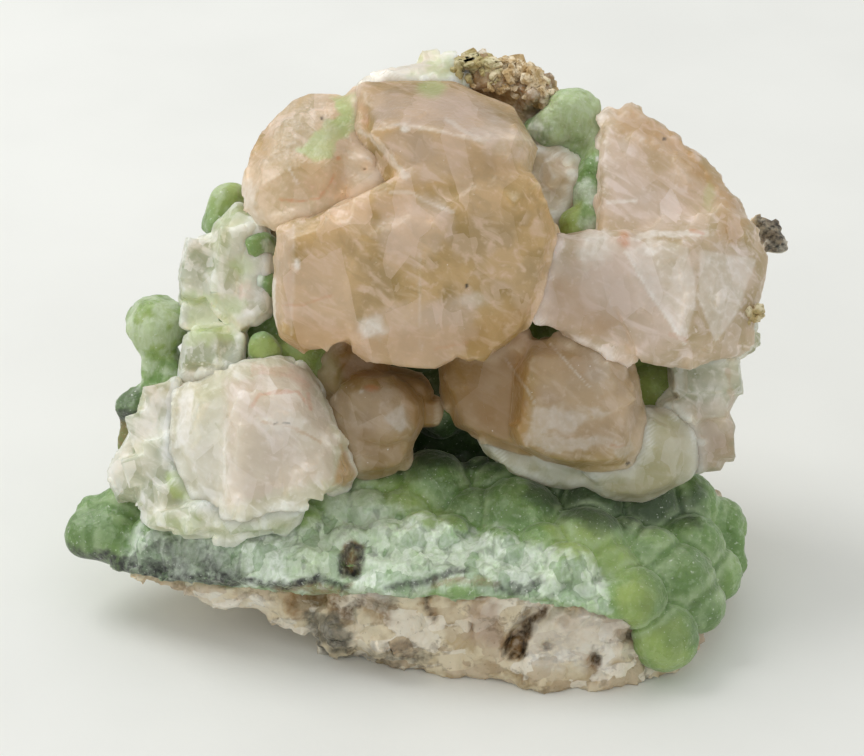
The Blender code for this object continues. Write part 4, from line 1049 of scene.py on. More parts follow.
# %% Marks on the crystals at the left and right edges
mark(left_lumps, IN_CALCITE, {
    "white": [
        (stroke, [(-52.5, 21), (-48, 27), (-44, 33)], 1.2, 0.8, 1.0),
        (stroke, [(-46, 14), (-36, 15.3), (-24, 15.5)], 1.0, 0.3, 1.0),
        (stroke, [(-43.5, 30), (-43, 22)], 0.5, 0.7, 1.0)],
    "green": [
        (patch, [(-43, 21), (-38, 21), (-37, 16.5), (-42, 16.5)], 0.95, 0.5, 0.4),
        (patch, [(-46, 14), (-22, 15), (-22, 10), (-44, 10)], 0.3, 1.5, 1.0)],
    "amber": [(patch, [(-47, 36), (-38, 36), (-38, 31), (-45, 31)], 0.35, 1.5, 1.0)],
    "pink": [(patch, [(-37, 14.5), (-22, 16), (-22, 12), (-37, 11.5)], 0.4, 1.0)],
})
mark(left_stack, IN_CALCITE, {
    "green": [
        (patch, [(-40, 50.5), (-30, 50.5), (-30, 43), (-39, 43)], 0.75, 1.0, 1.2),
        (spot, (-30.5, 55.5), (2.2, 1.8), 0.8, 0.5, 0.4),
        (spot, (-33, 64), (3, 2.5), 0.6, 0.6, 0.5),
        (patch, [(-35, 63), (-27, 63), (-27, 52), (-35, 52)], 0.3, 1.5, 1.5)],
    "pink": [(patch, [(-34, 50), (-34, 62), (-26, 62), (-26, 44)], 0.35, 1.5, 1.0)],
    "white": [
        (stroke, [(-40, 57), (-38, 59.5), (-35, 60.5)], 0.8, 0.6, 1.0),
        (stroke, [(-34, 51), (-33.7, 57)], 0.4, 0.5, 0.6),
        (spot, (-31, 46), (2.5, 2), 0.7, 0.6, 1.0)],
    "rust": [(spot, (-29.7, 51.5), (0.9, 1.6), 0.35, 0.6, 0.8)],
    "amber": [(patch, [(-40, 38), (-33, 38), (-33, 34), (-40, 35)], 0.4, 1.0)],
})
mark(right_stack, IN_CALCITE, {
    "white": [
        (patch, [(44, 37), (50, 36), (51, 31), (47, 31)], 0.5, 1.0, 1.0),
        (stroke, [(45, 41), (53, 41.5)], 0.6, 0.4, 1.0)],
    "pink": [(patch, [(42, 33), (52, 33), (52, 20), (42, 20)], 0.6, 1.5, 1.0)],
    "amber": [
        (patch, [(49, 47), (55, 47), (54, 40), (50, 42)], 0.55, 1.5, 1.0),
        (stroke, [(50.5, 38), (51.5, 33), (50.5, 30)], 0.5, 0.5, 1.0),
        (patch, [(42, 30), (53, 30), (53, 18), (42, 18)], 0.35, 1.5, 1.0)],
    "rust": [(spot, (52.8, 45.5), (0.6, 0.9), 0.5, 0.5, 0.5)],
    "shade": [
        (patch, [(40, 48), (58, 48), (58, 30), (40, 30)], 0.25, 1.0),
        (patch, [(40, 30), (56, 30), (56, 16), (40, 16)], 0.42, 1.0)],
})

# %% Marks on the last three crystals, and painted edge light on all
mark(pale_lobe, IN_CALCITE, {
    "green": [(patch, [(8, 31), (46, 31), (46, 16), (8, 16)], 0.3, 1.0)],
    "amber": [
        (patch, [(8, 31), (27, 31), (27, 24), (8, 22)], 0.6, 2.0, 1.0),
        (patch, [(30, 32), (48, 32), (48, 14), (30, 14)], 0.25, 1.0)],
    "white": [(stroke, [(43.5, 30), (45, 27)], 0.4, 0.4, 0.6)],
    "pink": [(patch, [(30, 19.5), (44, 19), (44, 16), (30, 16)], 0.4, 1.0)],
    "shade": [(patch, [(5, 34), (50, 34), (50, 12), (5, 12)], 0.42, 1.0)],
    "dark": [(spot, (26.5, 21), (0.3, 0.2), 0.7)],
})
mark(groove, IN_CALCITE, {
    "amber": [(patch, [(16, 78), (29, 78), (29, 57), (16, 57)], 0.6, 1.0)],
    "white": [
        (stroke, [(17.5, 77.5), (20, 76)], 1.2, 0.5, 0.8),
        (stroke, [(20.5, 73), (23, 74.5)], 0.3, 0.6, 0.6),
        (stroke, [(19.5, 68), (22, 68.7)], 0.3, 0.4, 0.6)],
    "pink": [(patch, [(17, 63), (23, 63), (23, 57), (17, 57)], 0.5, 1.5)],
    "shade": [(patch, [(16, 78), (29, 78), (29, 57), (16, 57)], 0.12, 1.0)],
})
mark(top, IN_CALCITE, {
    "white": [(patch, [(-13, 83), (-11, 87), (0, 91), (6, 91), (6, 84)], 0.3, 1.0, 1.2)],
    "green": [(spot, (4.5, 88), (4.5, 3.0), 0.7, 0.6, 1.0)],
    "pink": [(patch, [(-14, 90), (0, 92), (4, 84), (-14, 82)], 0.5, 1.5, 1.5)],
    "dark": [(spot, (7, 87.8), (0.5, 0.5), 0.9)],
})

CRYSTALS = (centre, right, upper_left, egg, pale_lobe, white_block, left_lumps, left_stack, right_stack,
            small, groove, top)
# Painted light: every crystal's edges that stand out are painted lighter, and so is the lower part of the
# upper-left crystal listed in LIT, which faces down.
LIT = {upper_left: [(-31, 73), (-20, 71), (-8, 75), (0, 67), (-10, 62), (-31, 61)]}
for skin in CRYSTALS:
    lit = skin.patch(LIT[skin], 0.6, 2.0) if skin in LIT else np.zeros(len(skin.points))
    skin.store("edge_light", rims(skin, 0.015, 0.09), lit)

# %% Marks on the crust
IN_PREHNITE = ("mint", "fresh", "dark_and_shade", "shade", "rust")
mark(crust, IN_PREHNITE, {
    "mint": [
        (patch, [(-30.5, 12.5), (-22, 12.5), (-22.5, 2), (-30, 1.8)], 1.0, 0.8, 1.6),
        (patch, [(-17, 18.5), (-8, 18.5), (-4, 14), (-9, 12), (-17, 13)], 0.5, 1.5, 2.5),
        (patch, [(-4, 14.5), (4, 11.5), (13, 11), (17, 7), (14, 5), (6, 7), (-3, 8)], 0.85, 1.0, 2.0),
        (patch, [(16, 9), (24, 7), (30, 3), (29, 0), (20, 2), (14, 4)], 0.7, 1.0, 2.0),
        (patch, [(-47, 12.5), (-33, 12.5), (-33, 9.5), (-47, 9)], 0.6, 1.0, 2.5),
        (patch, BROKEN_FRONT, 0.62, 1.0, 2.0),
        (patch, [(-12, 12), (-2, 12), (6, 8), (2, 3), (-8, 5)], 0.4, 1.5, 2.5),
        (stroke, [(-31.3, 12), (-30.8, 7), (-31.5, 3)], 0.5, 0.9, 0.6),
        (stroke, [(-39, 11), (-35.5, 6), (-32.5, 2.7)], 0.28, 0.7, 0.6),
        (stroke, [(-28.5, 50), (-27.5, 55), (-26, 58)], 1.1, 0.7, 1.2),
        (spot, (-8, 2.2), (3.8, 2.2), 1.0, 0.3, 0.5),
        (spot, (-45, 46), (6, 5.5), 0.4, 0.6, 2.0),
        (spot, (-33.5, 71), (4, 5), 0.3, 0.6, 2.0)],
    "fresh": [
        (spot, (-33.5, 70), (5, 7), 0.95, 0.5, 0.3),
        (patch, [(-22, 13), (-14, 14.5), (-12, 9), (-15, 3), (-21, 2)], 0.3, 1.0, 1.2),
        (patch, [(-9, 20), (-2, 20), (5, 13), (0, 9), (-6, 12)], 0.5, 1.5, 1.2),
        (patch, [(20, 13), (30, 13), (36, 6), (33, 3), (22, 6)], 0.65, 1.5, 1.0),
        (spot, (35.3, -0.5), (3.2, 4.3), 0.8, 0.4, 0.2),
        (spot, (40, -8), (4.5, 4.5), 0.65, 0.4, 0.2),
        (spot, (25.5, 5), (5, 3.2), 0.6, 0.4, 0.3),
        (spot, (-45, 45), (6, 6), 0.9, 0.6, 0.4),
        (spot, (-26.5, 41.8), (3.5, 2), 0.9, 0.4, 0.3),
        (patch, [(-24, 43), (-13, 44), (-13, 34), (-22, 33)], 0.9, 1.0, 0.5),
        (spot, (-33, 66), (4, 4), 0.8, 0.6, 0.3),
        (patch, [(33, 41), (43, 41), (43, 30), (33, 30)], 0.75, 1.0, 0.5)],
    # A dark band along the left wing's lower edge, and painted shade in the crevice along the crust's foot
    # and round the hole at the front.
    "dark_and_shade": [
        (stroke, [(-59.5, 6.8), (-56, 6.1), (-51.8, 5.5), (-46.9, 4.5), (-41.3, 3.1), (-36.4, 2.8),
            (-31.5, 3)], 2.0, 1.0, 0.7),
        (stroke, [(-47, 5.6), (-41, 5.4), (-36, 4.2)], 2.2, 0.75, 2.0),
        (patch, [(-46, 9), (-38, 9), (-32, 5), (-32, 1), (-46, 2)], 0.35, 1.0, 3.0),
        (stroke, [(-31, 3.2), (-23, 2.0), (-17.5, 3.4), (-13.3, 1.6)], 0.7, 1.0, 0.7),
        (stroke, [(-6.3, 1.8), (0.7, 2.9), (4, 4), (7, 4.7)], 0.7, 0.85, 0.8),
        (stroke, [(12, 1.6), (16.5, 1.4), (19, 2.6)], 1.0, 0.8, 1.5),
        (stroke, [(-51.5, 30.3), (-47.5, 30.6)], 0.9, 0.95, 0.8),
        (stroke, [(-13.4, 4), (-13.5, 7), (-12.4, 8.9), (-10.8, 8.3), (-10.5, 6.4), (-11.6, 3.8)],
            0.75, 1.0, 0.5)],
    "shade": [
        (patch, [(-3, 30), (16, 30), (22, 24), (12, 21), (-2, 21)], 1.0, 1.5, 1.0),
        (patch, [(-12, 26), (2, 26), (2, 19.5), (-12, 20.5)], 0.7, 1.5, 1.0),
        (patch, [(-6, 42), (6, 42), (6, 33), (-6, 33)], 0.9, 1.5, 1.0),
        (patch, [(18, 23), (33, 18), (47, 19), (46, 12), (28, 11), (16, 17)], 0.95, 2.0, 1.0),
        (patch, [(35, 9), (50, 9), (50, -4), (42, -10), (36, -3)], 0.3, 2.0, 1.0),
        (patch, [(-62, 14), (-50, 16), (-47, 8), (-58, 7)], 0.3, 2.0, 1.0),
        (patch, [(0, 22), (18, 21), (18, 13), (3, 12)], 0.35, 2.0, 1.0),
        (patch, [(-52, 35.5), (-47, 35.5), (-47, 29), (-52, 29)], 0.7, 0.6, 0.5),
        (patch, [(-47, 11), (-31, 10), (-31, 2), (-47, 3)], 0.6, 1.5, 1.5),
        (patch, [(13, 9), (19, 7), (19, 1), (13, 2)], 0.4, 1.0, 1.5)],
    "rust": [
        (patch, [(-52.5, 29.5), (-48.5, 29.5), (-49.5, 23), (-52.5, 24)], 0.8, 0.5, 0.8),
        (patch, [(-13.8, 3.5), (-13.6, 8.6), (-12, 9.6), (-10.2, 8.6), (-10.6, 4)], 1.0, 0.5, 0.4),
        (stroke, [(-57, 5), (-50, 3.8)], 0.5, 0.5, 1.0),
        (stroke, [(-24, 1.4), (-18, 1.4), (-13.5, 0.6)], 1.3, 0.8, 1.2),
        (stroke, [(2, 2.6), (7, 3.0), (12, 2.0)], 0.8, 0.6, 1.2)],
})
mark(knobs, IN_PREHNITE, {
    "mint": [
        (stroke, [(17.5, 76.5), (20, 79.5)], 1.6, 0.8, 1.0),
        (spot, (27, 67.5), (2.2, 1.6), 0.6, 0.6, 1.0),
        (spot, (28.5, 61), (1.8, 2.6), 0.45, 0.6, 1.0),
        (stroke, [(29, 73.2), (30, 73.6)], 0.4, 0.9, 0.6),
        (patch, [(17, 85), (32, 86), (31, 74), (20, 75)], 0.32, 1.5, 2.0)],
    "fresh": [
        (patch, [(17, 84), (31, 86), (31, 74), (22, 75)], 0.8, 1.5, 1.0),
        (patch, [(22, 66), (26, 66), (26, 58), (22, 58)], 0.95, 0.6, 0.3)],
})
# Painted light: the crust's and the knobs' edges that stand out are painted lighter.
crust.store("edge_light", rims(crust, 0.03, 0.16))
knobs.store("edge_light", rims(knobs, 0.03, 0.14))

# %% Marks on the rock
IN_ROCK, IN_RUBBLE = ("rust", "dark_and_shade", "grey", "white", "pink"), ("dark_and_shade", "olive")
OLIVE_CORNER = (patch, [(2, 92), (12, 92), (12, 86), (2, 85)], 0.9, 1.0, 1.5)
mark(rock, IN_ROCK, {
    "rust": [
        (patch, [(-24, 3), (-14, 3.5), (-13, -1), (-22, -2)], 0.85, 0.8, 1.5),
        (patch, [(-11, 2), (-5.5, 1.5), (-5, -4.5), (-10, -4)], 0.6, 1.0, 2.0),
        (patch, [(-17, -1), (-12, -1.5), (-12, -4), (-16, -4)], 0.8, 0.5, 1.0),
        (patch, [(2, 2), (12, 1), (12, -2), (4, -1.4)], 0.6, 0.8, 2.0),
        (patch, [(-16, -2), (-12, -2.2), (-12, -5.4), (-15, -5)], 0.7, 0.6, 1.2),
        (stroke, [(0.2, 0.5), (0.6, -1.8), (1.8, -3.4)], 0.9, 0.7, 0.8),
        (spot, (28.1, -10.6), (1.2, 1.8), 0.9, 0.4, 0.6),
        (stroke, [(-50, 1.5), (-43, 0.5)], 0.8, 0.5, 1.5),
        (patch, [(20.2, -1.4), (17, -3.2), (15.8, -5), (13.9, -6), (12.8, -8.4), (13.8, -10.2),
            (16.8, -9.9), (17.2, -7.4), (18.4, -4), (20.6, -2.3)], 1.0, 0.35, 0.6),
        (spot, (34.8, -6.4), (2.6, 1.8), 0.7, 0.5, 0.5),
        (patch, [(30, 0), (38, -8), (45, -10), (44, -12.5), (30, -5)], 0.35, 1.5, 1.5),
        (patch, [(2, 91), (24, 91), (24, 79), (4, 84)], 0.9, 1.5, 1.5)],
    # Partly painted shade, in the holes, along the crevice under the crust and along the foot of the rock;
    # the patch at the upper right is dark basalt.
    "dark_and_shade": [
        (patch, [(-17, -8), (0, -8.6), (0, -12), (-14, -12)], 0.6, 0.8, 3.0),
        (stroke, [(-25, 1.8), (-17, 2.4), (-11, 2)], 0.6, 0.9, 1.2),
        (stroke, [(12, 2), (19, 2.5)], 0.8, 0.9, 1.2),
        (patch, [(-15, -1), (-11, -1), (-10, -3.5), (-13, -3.5)], 0.5, 0.5, 2.0),
        (patch, [(55, 64), (61, 64), (61, 55), (57, 57), (55.5, 61)], 1.0, 0.6, 1.2),
        (stroke, [(0.2, 0.5), (0.6, -1.8), (1.8, -3.4)], 0.35, 0.9, 0.8),
        (patch, [(19.9, -1.6), (17.2, -3.4), (16.2, -5), (15.2, -6.4), (16.9, -7), (17.7, -5.4),
            (18.2, -3.8), (20.2, -2.2)], 1.0, 0.25, 0.5),
        (stroke, [(14.4, -6.6), (13.3, -8.4), (14, -9.8), (16.4, -9.6), (16.7, -7.6)], 0.55, 1.0, 0.5),
        (spot, (34.5, -6.2), (1.5, 0.9), 0.8, 0.4, 0.4),
        (spot, (28.6, -10), (0.9, 1.5), 0.8, 0.4, 0.4),
        (spot, (20.5, -8), (1.2, 0.5), 0.6, 0.4, 0.6)],
    "grey": [
        (patch, [(-19.5, -2), (-14, -2.5), (-12, -6), (-12, -10), (-18, -8)], 0.95, 0.6, 1.2),
        (spot, (-6.5, -1), (1.8, 1.4), 0.7, 0.6, 0.8)],
    "white": [
        (patch, [(-11.7, 4.5), (-5, 4.5), (-4.3, 1), (-8, -0.5), (-11, 1)], 1.0, 0.5, 1.2),
        (patch, [(-48, 1), (-25, 0), (-25, -3), (-46, -2)], 0.35, 1.0, 1.5),
        (patch, [(17, -1), (34, -3), (37, -8), (30, -13), (17, -11)], 0.4, 1.0, 1.5)],
    "pink": [
        (patch, [(7, 0), (13, 0), (12.5, -8), (8, -7)], 0.8, 1.0, 1.0),
        (patch, [(22, -1), (33, -3), (33, -7), (22, -8)], 0.45, 1.5, 1.0),
        (patch, [(44, 2), (53, 3), (53, -10), (44, -9)], 0.8, 1.0, 1.0)],
})
mark(rubble, IN_RUBBLE, {
    "dark_and_shade": [(spot, (7, 87.8), (0.9, 0.8), 0.9), (spot, (20, 83), (2, 1.2), 0.4)],
    "olive": [OLIVE_CORNER],
})
mark(rubble_bed, IN_RUBBLE, {
    "olive": [OLIVE_CORNER],
})
mark(chip, IN_RUBBLE, {
    "olive": [(spot, (55.5, 47.2), (3, 3), 0.5, 0.3, 0.5)],
})
# Painted light: the rock's edges that stand out are painted lighter.
rock.store("edge_light", rims(rock, 0.05, 0.25))

# %% [markdown]
# ## Materials
#
# Calcite, prehnite and the rock let light in, so each is a Principled surface with full subsurface
# scattering: light enters, is scattered about and comes out some millimetres away. Calcite lets it
# travel furthest, prehnite less, and the rock hardly at all. Colours are written as the hex values
# of the eye and turned into linear light by one function. Patterns take their scale from real
# millimetres, through another. One function adds every node, and the others here are recipes that
# use it: clouds, soft ramps, stained places, layers of paint, slanted panes and bumps.

# %% Helpers for materials
def linear(hex_colour):
    """An sRGB hex colour as linear red, green, blue and alpha."""
    values = [int(hex_colour[i:i + 2], 16) / 255.0 for i in (1, 3, 5)]
    return tuple(v / 12.92 if v <= 0.04045 else ((v + 0.055) / 1.055) ** 2.4 for v in values) + (1.0,)


def per_metre(width):
    """The texture scale at which one feature is so many mm wide."""
    return 1000.0 / width


def add(tree, kind, sockets=None, output=0, **settings):
    """Add a shader node with its settings and give back one of its outputs.

    Each socket gets a number, a hex colour or another node's output, which is linked to it.
    """
    node = tree.nodes.new("ShaderNode" + kind)
    for name, value in settings.items():
        setattr(node, name, value)
    for socket, value in (sockets or {}).items():
        if isinstance(value, bpy.types.NodeSocket):
            tree.links.new(value, node.inputs[socket])
        else:
            node.inputs[socket].default_value = linear(value) if isinstance(value, str) else value
    return node.outputs[output]


def new_material(name):
    """A material with its Principled shader, and a source of object coordinates in metres."""
    material = bpy.data.materials.new(name)
    material.use_nodes = True
    tree = material.node_tree
    return material, tree, tree.nodes["Principled BSDF"], add(tree, "TexCoord", output="Object")

# %% Recipes of nodes
def clouds(tree, where, width, detail=3.0, stretch=None, turn=(0.0, 0.0, 0.0), distortion=0.0):
    """Cloudy noise from 0 to 1 with features of a width in mm, turned and stretched if asked."""
    if stretch:
        where = add(tree, "Mapping", {"Vector": where, "Rotation": turn})
        where = add(tree, "VectorMath", {0: where, 1: stretch}, operation="MULTIPLY")
    sockets = {"Vector": where, "Scale": per_metre(width), "Detail": detail, "Distortion": distortion}
    return add(tree, "TexNoise", sockets, "Fac")


def ramp(tree, value, low, high, to_low=0.0, to_high=1.0):
    """A value brought from one range to another along a soft S, and held at the ends."""
    sockets = {"Value": value, "From Min": low, "From Max": high, "To Min": to_low, "To Max": to_high}
    return add(tree, "MapRange", sockets, "Result", interpolation_type="SMOOTHSTEP")


def both(tree, first, second):
    """The product of two values: high only where both are."""
    return add(tree, "Math", {0: first, 1: second}, operation="MULTIPLY")


def stored(tree, name):
    """A mark as it is stored on the skin's points."""
    return add(tree, "Attribute", output="Fac", attribute_name=name)


def stain(tree, name, cloud, strength=1.0, clouded=0.5):
    """The share of a stored mark's colour: its strength, broken up by a cloud."""
    broken = ramp(tree, cloud, 0.30, 0.70, 1.0 - clouded, 1.0)
    return both(tree, both(tree, stored(tree, name), broken), strength)


def paint(tree, colour, layers):
    """Lay colours over the first one: each layer is the share it takes and its colour."""
    for share, tint in layers:
        colour = add(tree, "Mix", {0: share, 6: colour, 7: tint}, 2, data_type="RGBA")
    return colour


def panes(tree, where, width, turn, narrow=(1.0, 0.7, 0.5)):
    """Slanted blocks with a grey of their own, a height that slopes its own way, and how far each
    place is from its block's middle, which is highest in the corners between blocks."""
    slanted = add(tree, "Mapping", {"Vector": where, "Rotation": turn, "Scale": narrow})
    cell = add(tree, "TexVoronoi", {"Vector": slanted, "Scale": per_metre(width)}, distance="CHEBYCHEV")
    distance, colour, place = (cell.node.outputs[name] for name in ("Distance", "Color", "Position"))
    offset = add(tree, "VectorMath", {0: slanted, 1: place}, operation="SUBTRACT")
    lean = add(tree, "VectorMath", {0: colour, 1: (0.5, 0.5, 0.5)}, operation="SUBTRACT")
    slope = add(tree, "VectorMath", {0: offset, 1: lean}, "Value", operation="DOT_PRODUCT")
    grey = add(tree, "SeparateColor", {"Color": colour}, "Red")
    return grey, both(tree, slope, per_metre(width)), distance


def bumps(tree, shader, *layers):
    """Chain bump nodes: each layer is a height socket and the depth in mm of its highest part."""
    below = {}
    for height, depth in layers:
        sockets = {"Strength": 1.0, "Distance": depth * MM, "Height": height, **below}
        below = {"Normal": add(tree, "Bump", sockets)}
    tree.links.new(below["Normal"], shader.inputs["Normal"])


def scatter(shader, radius, scale, ior, roughness):
    """Full subsurface scattering with how far each colour travels, in mm, and a plain gloss."""
    shader.subsurface_method = "BURLEY"
    for socket, value in (("Weight", 1.0), ("Radius", radius), ("Scale", scale * MM)):
        shader.inputs["Subsurface " + socket].default_value = value
    shader.inputs["IOR"].default_value = ior
    shader.inputs["Roughness"].default_value = roughness

# %% [markdown]
# ## Calcite
#
# Calcite is clear inside but etched by weather, so its faces look waxy, and cleavage panes and
# veils show through them. The base colour is built up in layers: clouds, brushed streaks, panes of
# two sizes, and then the stored marks, among them painted shade and painted light on thin edges.
# White specks are painted glints. Where two crystals touch, some light crosses from one into the
# next, and a faint glow stands for it, with the colour painted lighter there too, because the skins
# are closed off from each other.

# %% The calcite
def calcite(name, body, deep, light, edge_light_tint, travel, block=7.5, lean=0.19, glow=0.14):
    """Calcite with blocks of a width in mm and a lean, their steepest slope, and a glow at contacts."""
    material, tree, shader, where = new_material(name)
    scatter(shader, (1.0, 0.78, 0.60), travel, 1.5, 0.34)
    shader.inputs["Sheen Weight"].default_value = 0.06
    cloud = clouds(tree, where, 6.0, 2.0)
    fine = clouds(tree, where, 1.1, 2.0)
    brushed = clouds(tree, where, 2.4, 3.0, (0.25, 1.0, 1.0), (0.3, -0.5, 0.4), 0.8)
    etch = clouds(tree, where, 0.7, 1.0)
    grey, facet, _ = panes(tree, where, block, (0.5, 0.4, 0.3))
    small_grey, _, _ = panes(tree, where, block * 0.35, (0.2, -0.5, 0.8))
    small_panes = both(tree, ramp(tree, small_grey, 0.6, 1.0, 0.0, 0.5), ramp(tree, cloud, 0.45, 0.6))
    colour = paint(tree, body, (
        (ramp(tree, cloud, 0.35, 0.65), deep),
        (ramp(tree, brushed, 0.50, 0.70, 0.0, 0.6), light),
        (ramp(tree, brushed, 0.48, 0.30, 0.0, 0.5), deep),
        (ramp(tree, grey, 0.55, 0.95, 0.0, 0.45), light),
        (ramp(tree, grey, 0.40, 0.05, 0.0, 0.35), deep),
        (small_panes, light),
        (ramp(tree, fine, 0.55, 0.8, 0.0, 0.45), light),
        (stain(tree, "pink", cloud, 0.7, 0.3), "#d9c4b8"),
        (stain(tree, "amber", cloud, 0.8, 0.35), "#b38546"),
        (stain(tree, "green", cloud, 0.85, 0.3), "#a9bd72"),
        # Painted light: thin edges and corners are painted lighter, for light that comes through them.
        (stain(tree, "edge_light", fine, 0.7, 0.3), edge_light_tint),
        (stain(tree, "white", fine, 0.8, 0.35), "#f4f1ea"),
        (stain(tree, "rust", fine, 0.8, 0.5), "#c77743"),
        (stain(tree, "shade", cloud, 0.6, 0.1), "#5e4828"),
        (stain(tree, "dark", fine, 1.0, 0.0), "#1c150f"),
        # Painted glints: small white specks.
        (ramp(tree, etch, 0.79, 0.84, 0.0, 0.5), "#ffffff"),
        # Painted light: a lighter colour where crystals touch, for light crossing from one into the next.
        (stain(tree, "near", cloud, 0.25, 0.0), light)))
    tree.links.new(colour, shader.inputs["Base Color"])
    tree.links.new(colour, shader.inputs["Emission Color"])
    lit = add(tree, "Math", {0: 1.0, 1: stored(tree, "shade")}, operation="SUBTRACT")
    through = both(tree, both(tree, stored(tree, "near"), lit), glow)
    tree.links.new(through, shader.inputs["Emission Strength"])
    material.cycles.emission_sampling = "NONE"
    bumps(tree, shader, (facet, lean * block), (etch, 0.12))
    return material

# %% [markdown]
# ## Prehnite
#
# Prehnite grows as fans of needles, so its balls are frosted and have a sugary sparkle, drawn as
# painted glints. Where the crust is broken, whitish and green chips show the ends of the fans, with
# dark gaps between them. The creases between the balls get painted shade, and the shoulders beside
# them and the edges that stand out get painted light.

# %% The prehnite
def prehnite(name):
    """Prehnite: clouded green with pale frost, painted shade in the creases between the balls, painted
    light on their shoulders and edges, painted glints, and fibrous broken parts.
    """
    material, tree, shader, where = new_material(name)
    scatter(shader, (0.7, 1.0, 0.5), 1.0, 1.6, 0.42)
    shader.inputs["Sheen Weight"].default_value = 0.2
    cloud = clouds(tree, where, 7.0, 3.0)
    fine = clouds(tree, where, 0.9, 3.0)
    fibres = clouds(tree, where, 1.0, 3.0, (1.0, 1.0, 0.3), distortion=0.8)
    glint = ramp(tree, clouds(tree, where, 0.5, 1.0), 0.68, 0.76)
    grey, facet, corner = panes(tree, where, 2.4, (0.4, 0.2, 0.6))
    broken = stored(tree, "broken")
    colour = paint(tree, "#688c45", (
        (ramp(tree, cloud, 0.35, 0.65), "#82a258"),
        (ramp(tree, grey, 0.45, 0.95, 0.0, 0.35), "#a9c492"),
        (ramp(tree, fine, 0.5, 0.75, 0.0, 0.45), "#b9cca4"),
        (ramp(tree, fine, 0.45, 0.25, 0.0, 0.4), "#5c7d48"),
        (stain(tree, "fresh", cloud, 0.9, 0.35), "#a3b55c"),
        (stain(tree, "shade", cloud, 1.0, 0.15), "#203a12"),
        # Painted light and shade: lit shoulders and edges are painted lighter, and the creases between the
        # balls are painted darker as shade.
        (stain(tree, "lit_shoulder", cloud, 0.65, 0.8), "#b4c89c"),
        (stain(tree, "shaded_crease", cloud, 0.35, 0.9), "#35502a"),
        (stain(tree, "edge_light", fine, 0.5, 0.4), "#c3d4b2"),
        (stain(tree, "mint", fibres, 1.0, 0.48), "#eef6ec"),
        (both(tree, broken, ramp(tree, grey, 0.60, 0.72, 0.0, 0.25)), "#e4eee0"),
        (both(tree, broken, ramp(tree, grey, 0.32, 0.22, 0.0, 0.4)), "#6e9460"),
        (both(tree, broken, ramp(tree, corner, 0.52, 0.64, 0.0, 0.4)), "#4c5a40"),
        (stain(tree, "rust", fine, 1.0, 0.5), "#8a6a3c"),
        # Near-black, partly painted shade in crevices and round the hole.
        (stain(tree, "dark_and_shade", fine, 1.0, 0.45), "#20221c"),
        # Painted glints: white dots in the colour, where the roughness is also lower.
        (both(tree, glint, 0.45), "#f0f6ea")))
    tree.links.new(colour, shader.inputs["Base Color"])
    tree.links.new(ramp(tree, glint, 0.0, 1.0, 0.42, 0.15), shader.inputs["Roughness"])
    depth = both(tree, facet, ramp(tree, broken, 0.0, 1.0, 0.35, 1.0))
    bumps(tree, shader, (fine, 0.30), (depth, 1.4))
    return material

# %% [markdown]
# ## The rock and the rubble
#
# The carbonate rock is broken and sugary: glassy on fresh grains, brown in its gaps and rusty in
# its holes. The rubble on top is gossan, weathered sulphide that has turned to rust. It lets no
# light in, so it is a plain rough surface, dull and brown to olive.

# %% The rock and the rubble
def carbonate(name):
    """The rock: panes for its grains, with brown gaps, and the gloss only on the lightest grains."""
    material, tree, shader, where = new_material(name)
    scatter(shader, (1.0, 0.75, 0.55), 0.45, 1.55, 0.42)
    cloud = clouds(tree, where, 5.0, 5.0)
    fine = clouds(tree, where, 0.8, 4.0)
    grey, facet, corner = panes(tree, where, 2.8, (0.7, 0.2, 0.9), (0.6, 1.0, 1.0))
    gap = both(tree, ramp(tree, corner, 0.46, 0.56), ramp(tree, fine, 0.35, 0.6))
    colour = paint(tree, "#bfab86", (
        (ramp(tree, cloud, 0.34, 0.50), "#dfd2b4"),
        (ramp(tree, grey, 0.60, 0.70, 0.0, 0.65), "#f4eee0"),
        (ramp(tree, grey, 0.34, 0.24, 0.0, 0.55), "#b7a184"),
        (ramp(tree, fine, 0.64, 0.72, 0.0, 0.5), "#8a744e"),
        (stain(tree, "pink", cloud, 0.8, 0.3), "#b49a88"),
        (both(tree, gap, 0.4), "#6d5535"),
        (stain(tree, "white", fine, 1.0, 0.3), "#efefe9"),
        (stain(tree, "rust", fine, 1.0, 0.45), "#8f6a35"),
        (stain(tree, "grey", fine, 1.0, 0.3), "#666252"),
        # Painted light: edges that stand out are painted lighter.
        (stain(tree, "edge_light", fine, 0.35, 0.3), "#e6dfcf"),
        # Near-black, partly painted shade in the holes and crevices.
        (stain(tree, "dark_and_shade", fine, 1.0, 0.5), "#1e1a12")))
    tree.links.new(colour, shader.inputs["Base Color"])
    tree.links.new(ramp(tree, grey, 0.7, 0.8, 0.5, 0.2), shader.inputs["Roughness"])
    bumps(tree, shader, (fine, 0.25), (facet, 1.9))
    return material


def gossan(name):
    """Iron-rich rubble: crumbly grains from straw to brown."""
    material, tree, shader, where = new_material(name)
    shader.inputs["IOR"].default_value = 1.5
    shader.inputs["Roughness"].default_value = 0.8
    cloud = clouds(tree, where, 2.4, 4.0)
    fine = clouds(tree, where, 0.5, 4.0)
    colour = paint(tree, "#c8ac7c", (
        (ramp(tree, cloud, 0.4, 0.6), "#f4e6c8"),
        (ramp(tree, fine, 0.50, 0.65, 0.0, 0.55), "#806338"),
        (stain(tree, "olive", fine, 0.8, 0.3), "#a8a56c"),
        (stain(tree, "dark_and_shade", fine, 1.0, 0.3), "#1e1a12")))
    tree.links.new(colour, shader.inputs["Base Color"])
    bumps(tree, shader, (fine, 0.2), (cloud, 0.2))
    return material

